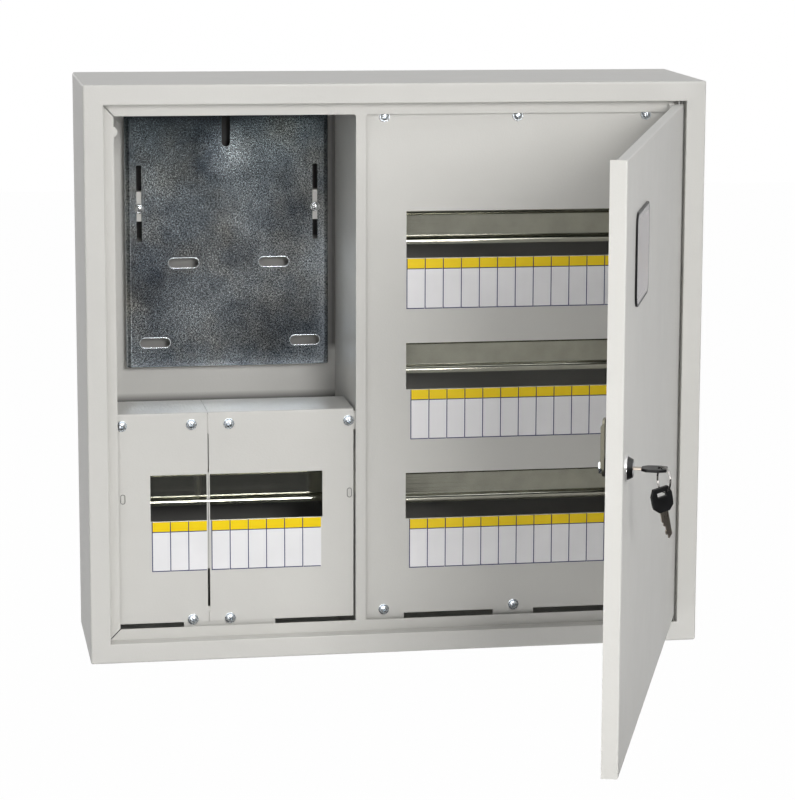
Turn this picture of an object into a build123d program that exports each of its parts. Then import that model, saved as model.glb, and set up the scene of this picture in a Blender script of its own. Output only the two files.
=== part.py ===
from build123d import *
import math
import os

# Wall-hung metering and distribution enclosure, door standing open. Millimetres, +Z up.
# The origin is the middle of the back face, the wall is y = 0 and the front looks along -Y.
# A depth is a distance behind the front face of the rim.

# Box
box_width = 590.0
box_height = 548.0
box_depth = 160.0
sheet = 1.2
rim_width = 19.0
recess = 16.0
lip_side = 10.2
lip_top = 11.5
lip_mitre = 1.0
lip_mitre_start = 0.8
fold_radius = 2.0
wall_hole_radius = 4.0
wall_hole_inset_x = 33.0
wall_hole_inset_z = 49.0
knockout_radius = 14.0
knockout_groove = 0.8
stop_radius = 5.3
stop_drop = 14.5
stop_overlap = 1.8

# Partition and its front post
meter_bay = 255.5
post_width = 9.5
post_corner = 2.4
cable_pass_length = 50.0
cable_pass_height = 50.0
cable_pass_from_back = 13.8
cable_pass_rise = 29.8

# Modules and rails
module_pitch = 17.5
module_play = 1.0
window_height = 45.0
rail_setback = 44.0
rail_height = 35.0
rail_depth = 7.5
rail_sheet = 1.0
rail_flange = 7.5
rail_bend = 5.6
rail_fold = 1.5
rail_rise_top = 2.65
rail_rise_middle = 3.1
rail_rise_bottom = 1.1
rail_rise_left = 0.8
upright_width = 18.0
upright_sheet = 1.5
upright_overrun = 30.0
upright_left_inset = 16.0
upright_right_inset = 8.0
left_upright_inset = 18.0
left_upright_post_gap = 13.5

# Covers
cover_sheet = 1.0
cover_setback = 5.0
cover_edge_gap = 0.6
cover_bottom_gap = 4.5
cover_top_overlap = 4.5
row_pitch = 126.6
first_row_drop = 92.5
window_inset = 39.0
window_margin = 26.0
right_screw_inset_left = 17.8
right_screw_inset_right = 23.9
right_screw_shift = 1.6
right_screw_drop = 2.7
right_screw_rise = 4.2
left_cover_overlap = 2.2
left_cover_gap = 1.7
left_cover_bottom_gap = 3.6
left_cover_height = 203.6
left_cover_fold = 1.6
left_screw_drop = 11.5
left_screw_rise = 2.4
left_screw_inset = 6.1
mid_screw_inset = 4.8
seam_screw_left = 15.5
seam_screw_right = 20.1
shelf_length = 67.0
seam_from_side = 114.4
seam_gap = 0.5
seam_strip = 1.2
slit_drop = 21.0
slit_gap = 1.5
slit_width = 0.5
low_slit_drop = 47.0
low_slit_rise = 9.3
low_slit_width = 0.9
blank_drop = 82.0
blank_length = 9.0
blank_width = 4.2
blank_inset_left = 6.4
blank_inset_right = 3.9
blank_depth = 0.6
left_window_drop = 59.7
left_modules = 3
mid_modules = 6
mid_window_play = 3.0

# Labels
label_pitch = 17.58
label_height = 48.4
label_sheet = 0.2
label_drop = 0.3
label_shift_top = 0.2
label_shift_middle = 4.4
label_shift_bottom = 3.5
label_shift_left = 0.9
label_shift_wide = 1.2

# Cover screws
screw_radius = 2.0
screw_head_radius = 5.2
screw_head_height = 3.4
screw_length = 9.0
screw_clearance = 0.05
notch_clearance = 0.3
small_head_radius = 4.3
small_head_height = 2.7
small_screw_length = 7.0
tab_width = 40.0
tab_reach = 46.0
tab_foot = 12.0
left_tab_overrun_left = 8.7
left_tab_overrun_right = 43.4
bar_drop = 2.5
bar_height = 18.0
bar_foot = 15.0

# Meter plate
plate_width = 199.0
plate_height = 260.0
plate_offset = 108.0
plate_top_gap = 28.0
plate_standoff = 14.8
plate_sheet = 1.5
plate_edge = 10.0
plate_bend = 5.0
plate_notch_width = 8.0
plate_notch_depth = 43.9
plate_notch_shift = 1.1
adjust_slot_length = 74.0
adjust_slot_width = 4.9
adjust_slot_drop = 98.6
adjust_slot_inset = 13.4
meter_slot_length = 30.0
meter_slot_width = 10.0
upper_slot_spacing = 88.6
upper_slot_drop = 157.5
upper_slot_shift = 1.0
lower_slot_spacing = 147.6
lower_slot_drop = 236.0
lower_slot_shift = 1.9
bracket_width = 14.0
bracket_height = 29.0
bracket_sheet = 1.5
bracket_drop = 101.7
plate_screw_drop = 103.8

# Protective earth
stud_radius = 3.0
stud_length = 24.0
stud_inset = 55.0
stud_rise = 49.0
washer_radius = 6.5
washer_sheet = 2.0
nut_inradius = 5.0
nut_height = 5.0

# Door
door_gap_side = 2.5
door_gap_top = 3.3
door_gap_bottom = 4.7
door_setback = 0.5
door_depth = 14.0
door_sheet = 1.0
door_top_return = 8.6
door_open = 71.0
door_fold = 1.5
pin_radius = 2.0
pin_clearance = 0.05
pin_inset = 4.0
pin_depth = 5.0
pin_overrun = 2.5
pin_reach = 24.0
ear_sheet = 2.0
ear_width = 9.0
ear_from_edge = 18.0
ear_setback = 3.0
bush_radius = 3.8
bush_play = 0.05
window_width_door = 104.0
window_height_door = 77.5
window_from_free_edge = 76.0
window_from_top = 50.7
window_corner = 11.5
edging_width = 2.0
edging_height = 1.8
pane_seat = 3.5
pane_play = 0.15

# Lock and keys
lock_inset = 26.0
lock_rise = 1.0
barrel_radius = 8.0
barrel_length = 16.6
lock_head_height = 4.2
lock_head_base = 9.6
lock_head_front = 7.4
bezel_radius = 11.0
bezel_height = 1.6
lock_nut_inradius = 10.5
lock_nut_height = 4.5
plug_radius = 5.0
plug_clearance = 0.06
cam_length = 40.0
cam_width = 15.0
cam_sheet = 2.0
cam_end_corner = 4.0
cam_edge = 3.2
cam_edge_sheet = 2.0
cam_edge_corner = 2.4
cam_play = 0.4
cam_square = 7.0
cam_square_play = 0.05
cam_nut_inradius = 4.6
cam_nut_height = 2.8
key_sheet = 1.5
key_blade_width = 7.2
key_play = 0.1
key_reach = 6.7
key_inserted = 16.0
key_point = 3.0
key_tang = 8.0
key_cut_pitch = 3.6
key_cut_start = 8.5
bow_length = 20.5
bow_width = 19.0
bow_neck = 9.6
bow_end = 13.6
bow_sheet = 3.0
bow_bar = 4.0
bow_slot = 3.6
bow_slot_width = 8.0
ring_radius = 10.3
ring_wire = 0.7
ring_rest = 0.75
ring_shift = 5.2
ring_turn = 55.0
spare_rest = 0.2
spare_balance = 12.0
spare_tilt = 12.0

# Places that follow from the sizes above
left = -box_width / 2
right = box_width / 2
top = box_height / 2
bottom = -box_height / 2
inner_back = box_depth - sheet
opening_x = right - rim_width
opening_z = top - rim_width
lip_x = opening_x - lip_side
lip_low = -opening_z + lip_side
lip_high = opening_z - lip_top
post_left = left + meter_bay
post_right = post_left + post_width
cover_depth = recess + cover_setback
tab_depth = cover_depth + cover_sheet
rail_front = cover_depth + rail_setback
rail_back = rail_front + rail_depth
plate_depth = inner_back - plate_standoff
hole = screw_radius + screw_clearance


def slab(x0, x1, d0, d1, z0, z1):
    """Box between two values on each axis, with depths along Y."""
    place = Pos((x0 + x1) / 2, (d0 + d1) / 2 - box_depth, (z0 + z1) / 2)
    return place * Box(x1 - x0, d1 - d0, z1 - z0)


def rod(x, z, d0, d1, radius):
    """Round bar that runs along the depth."""
    place = Pos(x, (d0 + d1) / 2 - box_depth, z)
    return place * Rot(90, 0, 0) * Cylinder(radius, d1 - d0)


def post(x, depth, z0, z1, radius):
    """Round bar that stands upright."""
    return Pos(x, depth - box_depth, (z0 + z1) / 2) * Cylinder(radius, z1 - z0)


def slot(x, z, d0, d1, length, width, turn=0.0):
    """Slot-shaped prism that runs along the depth."""
    prism = extrude(SlotOverall(length, width), amount=d1 - d0)
    return Pos(x, d1 - box_depth, z) * Rot(90, 0, 0) * Rot(0, 0, turn) * prism


def rounded(x, z, d0, d1, width, height, radius):
    """Rectangular prism with round corners that runs along the depth."""
    prism = extrude(RectangleRounded(width, height, radius), amount=d1 - d0)
    return Pos(x, d1 - box_depth, z) * Rot(90, 0, 0) * prism


def screw(x, z, seat, head_radius, head_height, length):
    """Pan-head screw, head in front of the seat depth and shank behind it."""
    outline = Polyline(
        (0, -length),
        (screw_radius, -length),
        (screw_radius, 0),
        (head_radius, 0),
        (head_radius, 0.3 * head_height),
        (0.55 * head_radius, head_height),
        (0, head_height),
        close=True,
    )
    turned = revolve(make_face(Plane.XZ * outline), Axis.Z)
    return Pos(x, seat - box_depth, z) * Rot(90, 0, 0) * turned


def cover_screw(x, z):
    """Screw that holds a cover to the tab or bar behind it."""
    return screw(x, z, cover_depth, screw_head_radius, screw_head_height, screw_length)


def small_screw(x, z, seat):
    """Smaller screw for the rails and the meter plate."""
    return screw(x, z, seat, small_head_radius, small_head_height, small_screw_length)


def edges_at(shape, test):
    """Edges of a shape whose centre passes a test on x, depth and z."""
    chosen = [e for e in shape.edges() if test(e.center().X, e.center().Y + box_depth, e.center().Z)]
    return ShapeList(chosen)


def close_to(value, target):
    """Whether two lengths agree to a micrometre."""
    return abs(value - target) < 1e-3


# Box shell: four walls, front rim, return and door-stop lip, folded from sheet
hinge_x = opening_x - door_gap_side - pin_inset
shell = slab(left, right, 0, box_depth, bottom, top)
shell -= slab(left + sheet, right - sheet, sheet, box_depth + 1, bottom + sheet, top - sheet)
shell += slab(-opening_x - sheet, opening_x + sheet, 0, recess + sheet, -opening_z - sheet, opening_z + sheet)
shell -= slab(-opening_x, opening_x, -1, recess, -opening_z, opening_z)
shell -= slab(-lip_x, lip_x, recess - 1, recess + sheet + 1, lip_low, lip_high)
outer_fold = edges_at(
    shell,
    lambda x, d, z: (close_to(d, 0) and (close_to(abs(x), right) or close_to(abs(z), top)))
    or (close_to(abs(x), right) and close_to(abs(z), top)),
)
shell = fillet(outer_fold, fold_radius)
inner_fold = edges_at(
    shell,
    lambda x, d, z: close_to(d, 0) and (close_to(abs(x), opening_x) or close_to(abs(z), opening_z)),
)
shell = fillet(inner_fold, sheet * 0.8)
stop_depth = recess + sheet
stop_z = lip_high - stop_drop
shell += rod(-lip_x - stop_overlap, stop_z, stop_depth - sheet / 4, stop_depth + sheet, stop_radius)
for lip_edge, opening_edge in ((lip_low, -opening_z), (lip_high, opening_z)):
    mitre_z = (lip_edge + opening_edge) / 2
    mitre_rise = lip_edge - opening_edge
    mitre_length = math.hypot(lip_side, mitre_rise) - lip_mitre_start
    for side in (-1, 1):
        mitre_x = side * (opening_x - lip_side / 2)
        mitre_turn = math.degrees(math.atan2(mitre_rise, side * lip_side))
        mitre = Pos(-lip_mitre_start, 0, 0) * Box(mitre_length, 3 * sheet, lip_mitre)
        shell -= Pos(mitre_x, stop_depth - box_depth, mitre_z) * Rot(0, mitre_turn, 0) * mitre
for side in (-1, 1):
    z_pin = side * (opening_z + sheet / 2)
    shell -= post(hinge_x, pin_depth, z_pin - sheet, z_pin + sheet, pin_radius + pin_clearance)
for column in range(6):
    knockout_x = (column - 2.5) * box_width / 7
    knockout_y = -box_depth * 0.42
    groove = Cylinder(knockout_radius, knockout_groove)
    groove -= Cylinder(knockout_radius - knockout_groove, knockout_groove)
    shell -= Pos(knockout_x, knockout_y, bottom) * groove

# Back panel, welded between the walls
hole_x = right - wall_hole_inset_x
hole_z = top - wall_hole_inset_z
back_panel = slab(left + sheet, right - sheet, inner_back, box_depth, bottom + sheet, top - sheet)
for x in (-hole_x, hole_x):
    for z in (-hole_z, hole_z):
        back_panel -= rod(x, z, inner_back - 1, box_depth + 1, wall_hole_radius)

# Partition: one sheet from the back panel, folded into the front post
partition = slab(post_left, post_left + sheet, recess + sheet, inner_back, bottom + sheet, top - sheet)
partition += slab(post_left, post_right, recess, recess + sheet, lip_low, lip_high)
for corner_x, side in ((post_left, -1), (post_right, 1)):
    flare_x = sorted((corner_x, corner_x + side * post_corner))
    flare_low = lip_high - post_corner
    flare = slab(flare_x[0], flare_x[1], recess, recess + sheet, flare_low, lip_high)
    flare -= rod(corner_x + side * post_corner, flare_low, recess - 1, recess + sheet + 1, post_corner)
    partition += flare
pass_depth = inner_back - cable_pass_length - cable_pass_from_back
pass_z = lip_low + cable_pass_rise
partition -= slab(
    post_left - 1,
    post_left + sheet + 1,
    pass_depth,
    pass_depth + cable_pass_length,
    pass_z,
    pass_z + cable_pass_height,
)

# Meter plate: galvanised sheet with its side edges folded back
plate_middle = post_left - plate_offset
plate_left = plate_middle - plate_width / 2
plate_right = plate_middle + plate_width / 2
plate_top = top - plate_top_gap
plate_low = plate_top - plate_height
plate_back = plate_depth + plate_sheet
plate = slab(plate_left, plate_right, plate_depth, plate_depth + plate_edge, plate_low, plate_top)
plate_corners = edges_at(
    plate,
    lambda x, d, z: close_to(d, plate_depth) and (close_to(x, plate_left) or close_to(x, plate_right)),
)
plate = fillet(plate_corners, plate_bend)
hollow_left = plate_left + plate_sheet
hollow_right = plate_right - plate_sheet
hollow = slab(hollow_left, hollow_right, plate_back, plate_depth + plate_edge + 5, plate_low - 5, plate_top + 5)
hollow_corners = edges_at(
    hollow,
    lambda x, d, z: close_to(d, plate_back) and (close_to(x, hollow_left) or close_to(x, hollow_right)),
)
plate -= fillet(hollow_corners, plate_bend - plate_sheet)
cut_front = plate_depth - 1
cut_back = plate_back + 1
notch_middle = plate_middle - plate_notch_shift
notch_reach = 2 * plate_notch_depth
plate -= slot(notch_middle, plate_top, cut_front, cut_back, notch_reach, plate_notch_width, 90)
adjust_z = plate_top - adjust_slot_drop
adjust_reach = plate_width / 2 - adjust_slot_inset
meter_slots = []
for side in (-1, 1):
    adjust_x = plate_middle + side * adjust_reach
    plate -= slab(
        adjust_x - adjust_slot_width / 2,
        adjust_x + adjust_slot_width / 2,
        cut_front,
        cut_back,
        adjust_z - adjust_slot_length / 2,
        adjust_z + adjust_slot_length / 2,
    )
    upper_x = plate_middle + upper_slot_shift + side * upper_slot_spacing / 2
    lower_x = plate_middle + lower_slot_shift + side * lower_slot_spacing / 2
    meter_slots.append((upper_x, plate_top - upper_slot_drop))
    meter_slots.append((lower_x, plate_top - lower_slot_drop))
for x, z in meter_slots:
    plate -= slot(x, z, cut_front, cut_back, meter_slot_length, meter_slot_width)

# Painted brackets that carry the meter plate, and its two screws
bracket_low = plate_top - bracket_drop - bracket_height / 2
bracket_high = bracket_low + bracket_height
plate_screw_z = plate_top - plate_screw_drop
brackets = Part()
plate_screws = Part()
for side in (-1, 1):
    x = plate_middle + side * adjust_reach
    x0 = x - bracket_width / 2
    x1 = x + bracket_width / 2
    face = slab(x0, x1, plate_back, plate_back + bracket_sheet, bracket_low, bracket_high)
    for edge in (bracket_low, bracket_high - bracket_sheet):
        face += slab(x0, x1, plate_back, inner_back, edge, edge + bracket_sheet)
    face -= rod(x, plate_screw_z, plate_back - 1, plate_back + bracket_sheet + 1, hole)
    brackets += face
    plate_screws += small_screw(x, plate_screw_z, plate_depth)

# Right cover with its three module windows
right_cover_left = post_right + cover_edge_gap
right_cover_right = lip_x - cover_edge_gap
right_cover_low = lip_low + cover_bottom_gap
right_cover_top = lip_high + cover_top_overlap
cover_front = cover_depth - 1
cover_back = tab_depth + 1
right_cover = slab(
    right_cover_left, right_cover_right, cover_depth, tab_depth, right_cover_low, right_cover_top
)
row_left = right_cover_left + window_inset
row_room = right_cover_right - window_margin - row_left - module_play
row_modules = math.floor(row_room / module_pitch)
row_right = row_left + row_modules * module_pitch + module_play
row_tops = [lip_high - first_row_drop - row * row_pitch for row in range(3)]
for z in row_tops:
    right_cover -= slab(row_left, row_right, cover_front, cover_back, z - window_height, z)
right_screw_x = (
    right_cover_left + right_screw_inset_left,
    (right_cover_left + right_cover_right) / 2 - right_screw_shift,
    right_cover_right - right_screw_inset_right,
)
right_screw_top = lip_high - right_screw_drop
right_screw_low = right_cover_low + right_screw_rise
notch = screw_radius + notch_clearance
for x in right_screw_x:
    right_cover -= rod(x, right_screw_top, cover_front, cover_back, hole)
    right_cover -= rod(x, right_screw_low, cover_front, cover_back, notch)
    right_cover -= slab(x - notch, x + notch, cover_front, cover_back, right_cover_low - 1, right_screw_low)

# Lower-left covers, each a front with a shelf folded back along its top
seam_x = left + seam_from_side
left_cover_left = -lip_x - left_cover_overlap
left_cover_right = post_left - left_cover_gap
left_low = lip_low + left_cover_bottom_gap
left_top = left_low + left_cover_height
left_window_top = left_top - left_window_drop
left_window_low = left_window_top - window_height
left_edge = seam_x - seam_gap / 2
mid_edge = seam_x + seam_gap / 2
left_window_right = left_edge - seam_strip
left_window_left = left_window_right - left_modules * module_pitch - module_play
mid_window_left = mid_edge + seam_strip
mid_window_right = mid_window_left + mid_modules * module_pitch + mid_window_play


def folded_cover(x0, x1):
    """Flat front with a shelf folded back along its top edge."""
    cover = slab(x0, x1, cover_depth, tab_depth, left_low, left_top)
    cover += slab(x0, x1, cover_depth, cover_depth + shelf_length, left_top - cover_sheet, left_top)
    fold = edges_at(cover, lambda x, d, z: close_to(d, cover_depth) and close_to(z, left_top))
    return fillet(fold, left_cover_fold)


left_cover = folded_cover(left_cover_left, left_edge)
mid_cover = folded_cover(mid_edge, left_cover_right)
left_cover -= slab(
    left_window_left, left_window_right, cover_front, cover_back, left_window_low, left_window_top
)
mid_cover -= slab(
    mid_window_left, mid_window_right, cover_front, cover_back, left_window_low, left_window_top
)
slit_foot = left_window_top + slit_gap
slit_head = left_top - slit_drop
mid_cover -= slab(mid_edge - 1, mid_edge + slit_width, cover_front, cover_back, slit_foot, slit_head)
low_slit_head = left_window_low - low_slit_drop
low_slit_foot = left_low + low_slit_rise
low_slit = slab(
    left_edge - low_slit_width, mid_edge + low_slit_width, cover_front, cover_back, low_slit_foot, low_slit_head
)
left_cover -= low_slit
mid_cover -= low_slit
blank_z = left_top - blank_drop
blank_floor = cover_depth + blank_depth
left_blank_x = left_cover_left + blank_inset_left
mid_blank_x = left_cover_right - blank_inset_right
left_cover -= slot(left_blank_x, blank_z, cover_front, blank_floor, blank_length, blank_width, 90)
mid_cover -= slot(mid_blank_x, blank_z, cover_front, blank_floor, blank_length, blank_width, 90)
left_screw_top = left_top - left_screw_drop
left_screw_low = left_low + left_screw_rise
left_low_screw = seam_x - seam_screw_left
mid_low_screw = seam_x + seam_screw_right
left_top_screws = (left_cover_left + left_screw_inset, left_low_screw)
mid_top_screws = (mid_low_screw, left_cover_right - mid_screw_inset)
for x in left_top_screws:
    left_cover -= rod(x, left_screw_top, cover_front, cover_back, hole)
for x in mid_top_screws:
    mid_cover -= rod(x, left_screw_top, cover_front, cover_back, hole)
for x in (left_low_screw, mid_low_screw):
    low_notch = rod(x, left_screw_low, cover_front, cover_back, notch)
    low_notch += slab(x - notch, x + notch, cover_front, cover_back, left_low - 1, left_screw_low)
    left_cover -= low_notch
    mid_cover -= low_notch

# Cover screws, one group on each side of the post
right_screws = Part()
for x in right_screw_x:
    for z in (right_screw_top, right_screw_low):
        right_screws += cover_screw(x, z)
left_screws = Part()
for x in left_top_screws + mid_top_screws:
    left_screws += cover_screw(x, left_screw_top)
for x in (left_low_screw, mid_low_screw):
    left_screws += cover_screw(x, left_screw_low)

# Tabs behind the covers, welded to the floor and the roof of the box
tab_back = tab_depth + sheet
floor = bottom + sheet
roof = top - sheet
right_tabs = Part()
for x in right_screw_x:
    low_tab = slab(x - tab_width / 2, x + tab_width / 2, tab_depth, tab_back, floor, floor + tab_reach)
    low_tab += slab(x - tab_width / 2, x + tab_width / 2, tab_depth, tab_depth + tab_foot, floor, floor + sheet)
    low_tab -= rod(x, right_screw_low, tab_depth - 1, tab_back + 1, hole)
    high_tab = slab(x - tab_width / 2, x + tab_width / 2, tab_depth, tab_back, roof - tab_reach, roof)
    high_tab += slab(x - tab_width / 2, x + tab_width / 2, tab_depth, tab_depth + tab_foot, roof - sheet, roof)
    high_tab -= rod(x, right_screw_top, tab_depth - 1, tab_back + 1, hole)
    right_tabs += low_tab
    right_tabs += high_tab
left_tab_x0 = left_low_screw - left_tab_overrun_left
left_tab_x1 = mid_low_screw + left_tab_overrun_right
left_tab = slab(left_tab_x0, left_tab_x1, tab_depth, tab_back, floor, floor + tab_reach)
left_tab += slab(left_tab_x0, left_tab_x1, tab_depth, tab_depth + tab_foot, floor, floor + sheet)
for x in (left_low_screw, mid_low_screw):
    left_tab -= rod(x, left_screw_low, tab_depth - 1, tab_back + 1, hole)

# Cross bar from the left wall to the partition, for the top screws of the lower-left covers
bar_top = left_top - bar_drop
bar_low = bar_top - bar_height
cross_bar = slab(left + sheet, post_left, tab_depth, tab_back, bar_low, bar_top)
cross_bar += slab(left + sheet, post_left, tab_depth, tab_depth + bar_foot, bar_low, bar_low + sheet)
for x in left_top_screws + mid_top_screws:
    cross_bar -= rod(x, left_screw_top, tab_depth - 1, tab_back + 1, hole)

# Top-hat rails, their uprights and the screws between them
rail_web = rail_back - rail_sheet
wall_z = rail_height / 2 - rail_flange


def top_hat_rail(x0, x1, z, screw_x):
    """Top-hat rail rolled from sheet, with its open side to the front."""
    rail = slab(x0, x1, rail_web, rail_back, z - wall_z - rail_sheet, z + wall_z + rail_sheet)
    for side in (-1, 1):
        wall = sorted((z + side * wall_z, z + side * (wall_z + rail_sheet)))
        flange = sorted((z + side * wall_z, z + side * rail_height / 2))
        rail += slab(x0, x1, rail_front, rail_back, wall[0], wall[1])
        rail += slab(x0, x1, rail_front, rail_front + rail_sheet, flange[0], flange[1])
    rolls = (
        (rail_front + rail_sheet, wall_z + rail_sheet, rail_bend - rail_sheet),
        (rail_front, wall_z, rail_bend),
        (rail_web, wall_z, rail_fold - rail_sheet),
        (rail_back, wall_z + rail_sheet, rail_fold),
    )
    for roll_depth, roll_z, roll_radius in rolls:
        bends = edges_at(rail, lambda x, d, e: close_to(d, roll_depth) and close_to(abs(e - z), roll_z))
        rail = fillet(bends, roll_radius)
    for x in screw_x:
        rail -= rod(x, z, rail_web - 1, rail_back + 1, hole)
    return rail


def hat_upright(x, z0, z1, screw_z):
    """Upright with its web to the front and two legs back to the panel."""
    x0 = x - upright_width / 2
    x1 = x + upright_width / 2
    upright = slab(x0, x1, rail_back, rail_back + upright_sheet, z0, z1)
    for edge in (x0, x1 - upright_sheet):
        upright += slab(edge, edge + upright_sheet, rail_back, inner_back, z0, z1)
    for z in screw_z:
        upright -= rod(x, z, rail_back - 1, rail_back + upright_sheet + 1, hole)
    return upright


rail_rises = (rail_rise_top, rail_rise_middle, rail_rise_bottom)
row_middles = [z - window_height / 2 + rise for z, rise in zip(row_tops, rail_rises)]
left_row_middle = left_window_top - window_height / 2 + rail_rise_left
right_upright_x = (row_left - upright_left_inset, row_right + upright_right_inset)
left_upright_x = (left_window_left - left_upright_inset, post_left - left_upright_post_gap)
right_uprights = Part()
for x in right_upright_x:
    upright_low = row_middles[2] - upright_overrun
    right_uprights += hat_upright(x, upright_low, row_middles[0] + upright_overrun, row_middles)
left_uprights = Part()
for x in left_upright_x:
    upright_low = left_row_middle - upright_overrun
    left_uprights += hat_upright(x, upright_low, left_row_middle + upright_overrun, [left_row_middle])
rail_start = right_upright_x[0] - upright_width / 2
rail_end = right_upright_x[1] + upright_width / 2
rails = [top_hat_rail(rail_start, rail_end, z, right_upright_x) for z in row_middles]
left_rail_start = left_upright_x[0] - upright_width / 2
left_rail_end = left_upright_x[1] + upright_width / 2
left_rail = top_hat_rail(left_rail_start, left_rail_end, left_row_middle, left_upright_x)
rail_screws = Part()
for x in right_upright_x:
    for z in row_middles:
        rail_screws += small_screw(x, z, rail_web)
for x in left_upright_x:
    rail_screws += small_screw(x, left_row_middle, rail_web)

# Label strips, stuck on the covers under the windows
label_front = cover_depth - label_sheet


def label(x0, modules, window_low):
    """Thin strip with one cell for each module."""
    z1 = window_low - label_drop
    return slab(x0, x0 + modules * label_pitch, label_front, cover_depth, z1 - label_height, z1)


label_shifts = (label_shift_top, label_shift_middle, label_shift_bottom)
row_labels = [
    label(row_left + shift, row_modules, z - window_height) for shift, z in zip(label_shifts, row_tops)
]
left_label = label(left_window_left + label_shift_left, left_modules, left_window_low)
mid_label = label(mid_window_left + label_shift_wide, mid_modules, left_window_low)

# Protective-earth stud on the back panel, with its nut
earth_x = row_left + stud_inset
earth_z = bottom + stud_rise
washer_front = inner_back - washer_sheet
earth_stud = rod(earth_x, earth_z, inner_back - stud_length, inner_back, stud_radius)
nut_prism = extrude(RegularPolygon(radius=nut_inradius, side_count=6, major_radius=False), amount=nut_height)
earth_nut = Pos(earth_x, washer_front - box_depth, earth_z) * Rot(90, 0, 0) * nut_prism
earth_nut += rod(earth_x, earth_z, washer_front, inner_back, washer_radius)
earth_nut -= rod(earth_x, earth_z, inner_back - stud_length, inner_back + 1, stud_radius + screw_clearance)

# Door, drawn shut and turned open about its pins at the end
door_right = opening_x - door_gap_side
door_left = -opening_x + door_gap_side
door_low = -opening_z + door_gap_bottom
door_top = opening_z - door_gap_top
door_back = door_setback + door_depth
skin_back = door_setback + door_sheet
door = slab(door_left, door_right, door_setback, door_back, door_low, door_top)
door -= slab(
    door_left + door_sheet,
    door_right - door_sheet,
    skin_back,
    door_back + 1,
    door_low + door_sheet,
    door_top - door_sheet,
)
door -= slab(
    door_left + door_sheet,
    door_right - door_sheet,
    door_setback + door_top_return,
    door_back + 1,
    door_top - 2 * door_sheet,
    door_top + 1,
)
skin_edges = edges_at(door, lambda x, d, z: close_to(d, door_setback))
door = fillet(skin_edges, door_fold)
pane_x = door_left + window_from_free_edge + window_width_door / 2
pane_z = door_top - window_from_top - window_height_door / 2
pane_width = window_width_door - 2 * edging_width
pane_height = window_height_door - 2 * edging_width
cut_width = pane_width - 2 * pane_seat
cut_height = pane_height - 2 * pane_seat
cut_corner = window_corner - edging_width - pane_seat
door -= rounded(pane_x, pane_z, door_setback - 1, skin_back + 1, cut_width, cut_height, cut_corner)
lock_x = door_left + lock_inset
lock_z = (door_low + door_top) / 2 + lock_rise
door -= rod(lock_x, lock_z, door_setback - 1, skin_back + 1, barrel_radius)
for z in (door_low, door_top):
    door -= post(hinge_x, pin_depth, z - 2, z + 2, pin_radius)

# Clear pane on the outside of the door, and the black edging round it
pane_front = door_setback - edging_height
pane = rounded(pane_x, pane_z, pane_front, door_setback, pane_width, pane_height, window_corner - edging_width)
plug_width = cut_width - 2 * pane_play
plug_height = cut_height - 2 * pane_play
pane += rounded(pane_x, pane_z, door_setback, skin_back + door_sheet / 2, plug_width, plug_height, cut_corner)
edging = rounded(
    pane_x, pane_z, pane_front, door_setback, window_width_door, window_height_door, window_corner
)
edging -= rounded(
    pane_x, pane_z, pane_front - 1, door_setback + 1, pane_width, pane_height, window_corner - edging_width
)

# Hinge pins, the brackets that hold them in the door, and the bush the door stands on
pin_end = opening_z + sheet + pin_overrun
hinge_pins = post(hinge_x, pin_depth, door_top - pin_reach, pin_end, pin_radius)
hinge_pins += post(hinge_x, pin_depth, -pin_end, door_low + pin_reach, pin_radius)
hinge_brackets = Part()
ear_right = door_right - door_sheet
for z in (door_low + ear_from_edge, door_top - ear_from_edge - ear_sheet):
    ear = slab(ear_right - ear_width, ear_right, skin_back, door_back - ear_setback, z, z + ear_sheet)
    hinge_brackets += ear - post(hinge_x, pin_depth, z - 1, z + ear_sheet + 1, pin_radius)
bush = post(hinge_x, pin_depth, -opening_z, door_low - bush_play, bush_radius)
bush -= post(hinge_x, pin_depth, -opening_z - 1, door_low + 1, pin_radius + pin_clearance)

# Lock: bezel, housing and nut stay with the door
bezel_front = door_setback - bezel_height
head_front = bezel_front - lock_head_height
barrel_end = door_setback + barrel_length
bezel = rod(lock_x, lock_z, bezel_front, door_setback, bezel_radius)
bezel -= rod(lock_x, lock_z, bezel_front - 1, door_setback + 1, barrel_radius)
head = Cone(lock_head_base, lock_head_front, lock_head_height)
housing = Pos(lock_x, bezel_front - lock_head_height / 2 - box_depth, lock_z) * Rot(90, 0, 0) * head
housing += rod(lock_x, lock_z, bezel_front, barrel_end, barrel_radius)
housing -= rod(lock_x, lock_z, head_front - 1, barrel_end + 1, plug_radius + plug_clearance)
nut_back = skin_back + lock_nut_height
lock_nut_outline = RegularPolygon(radius=lock_nut_inradius, side_count=6, major_radius=False)
lock_nut_prism = extrude(lock_nut_outline, amount=lock_nut_height)
lock_nut = Pos(lock_x, nut_back - box_depth, lock_z) * Rot(90, 0, 0) * lock_nut_prism
lock_nut -= rod(lock_x, lock_z, skin_back - 1, nut_back + 1, barrel_radius)

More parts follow.
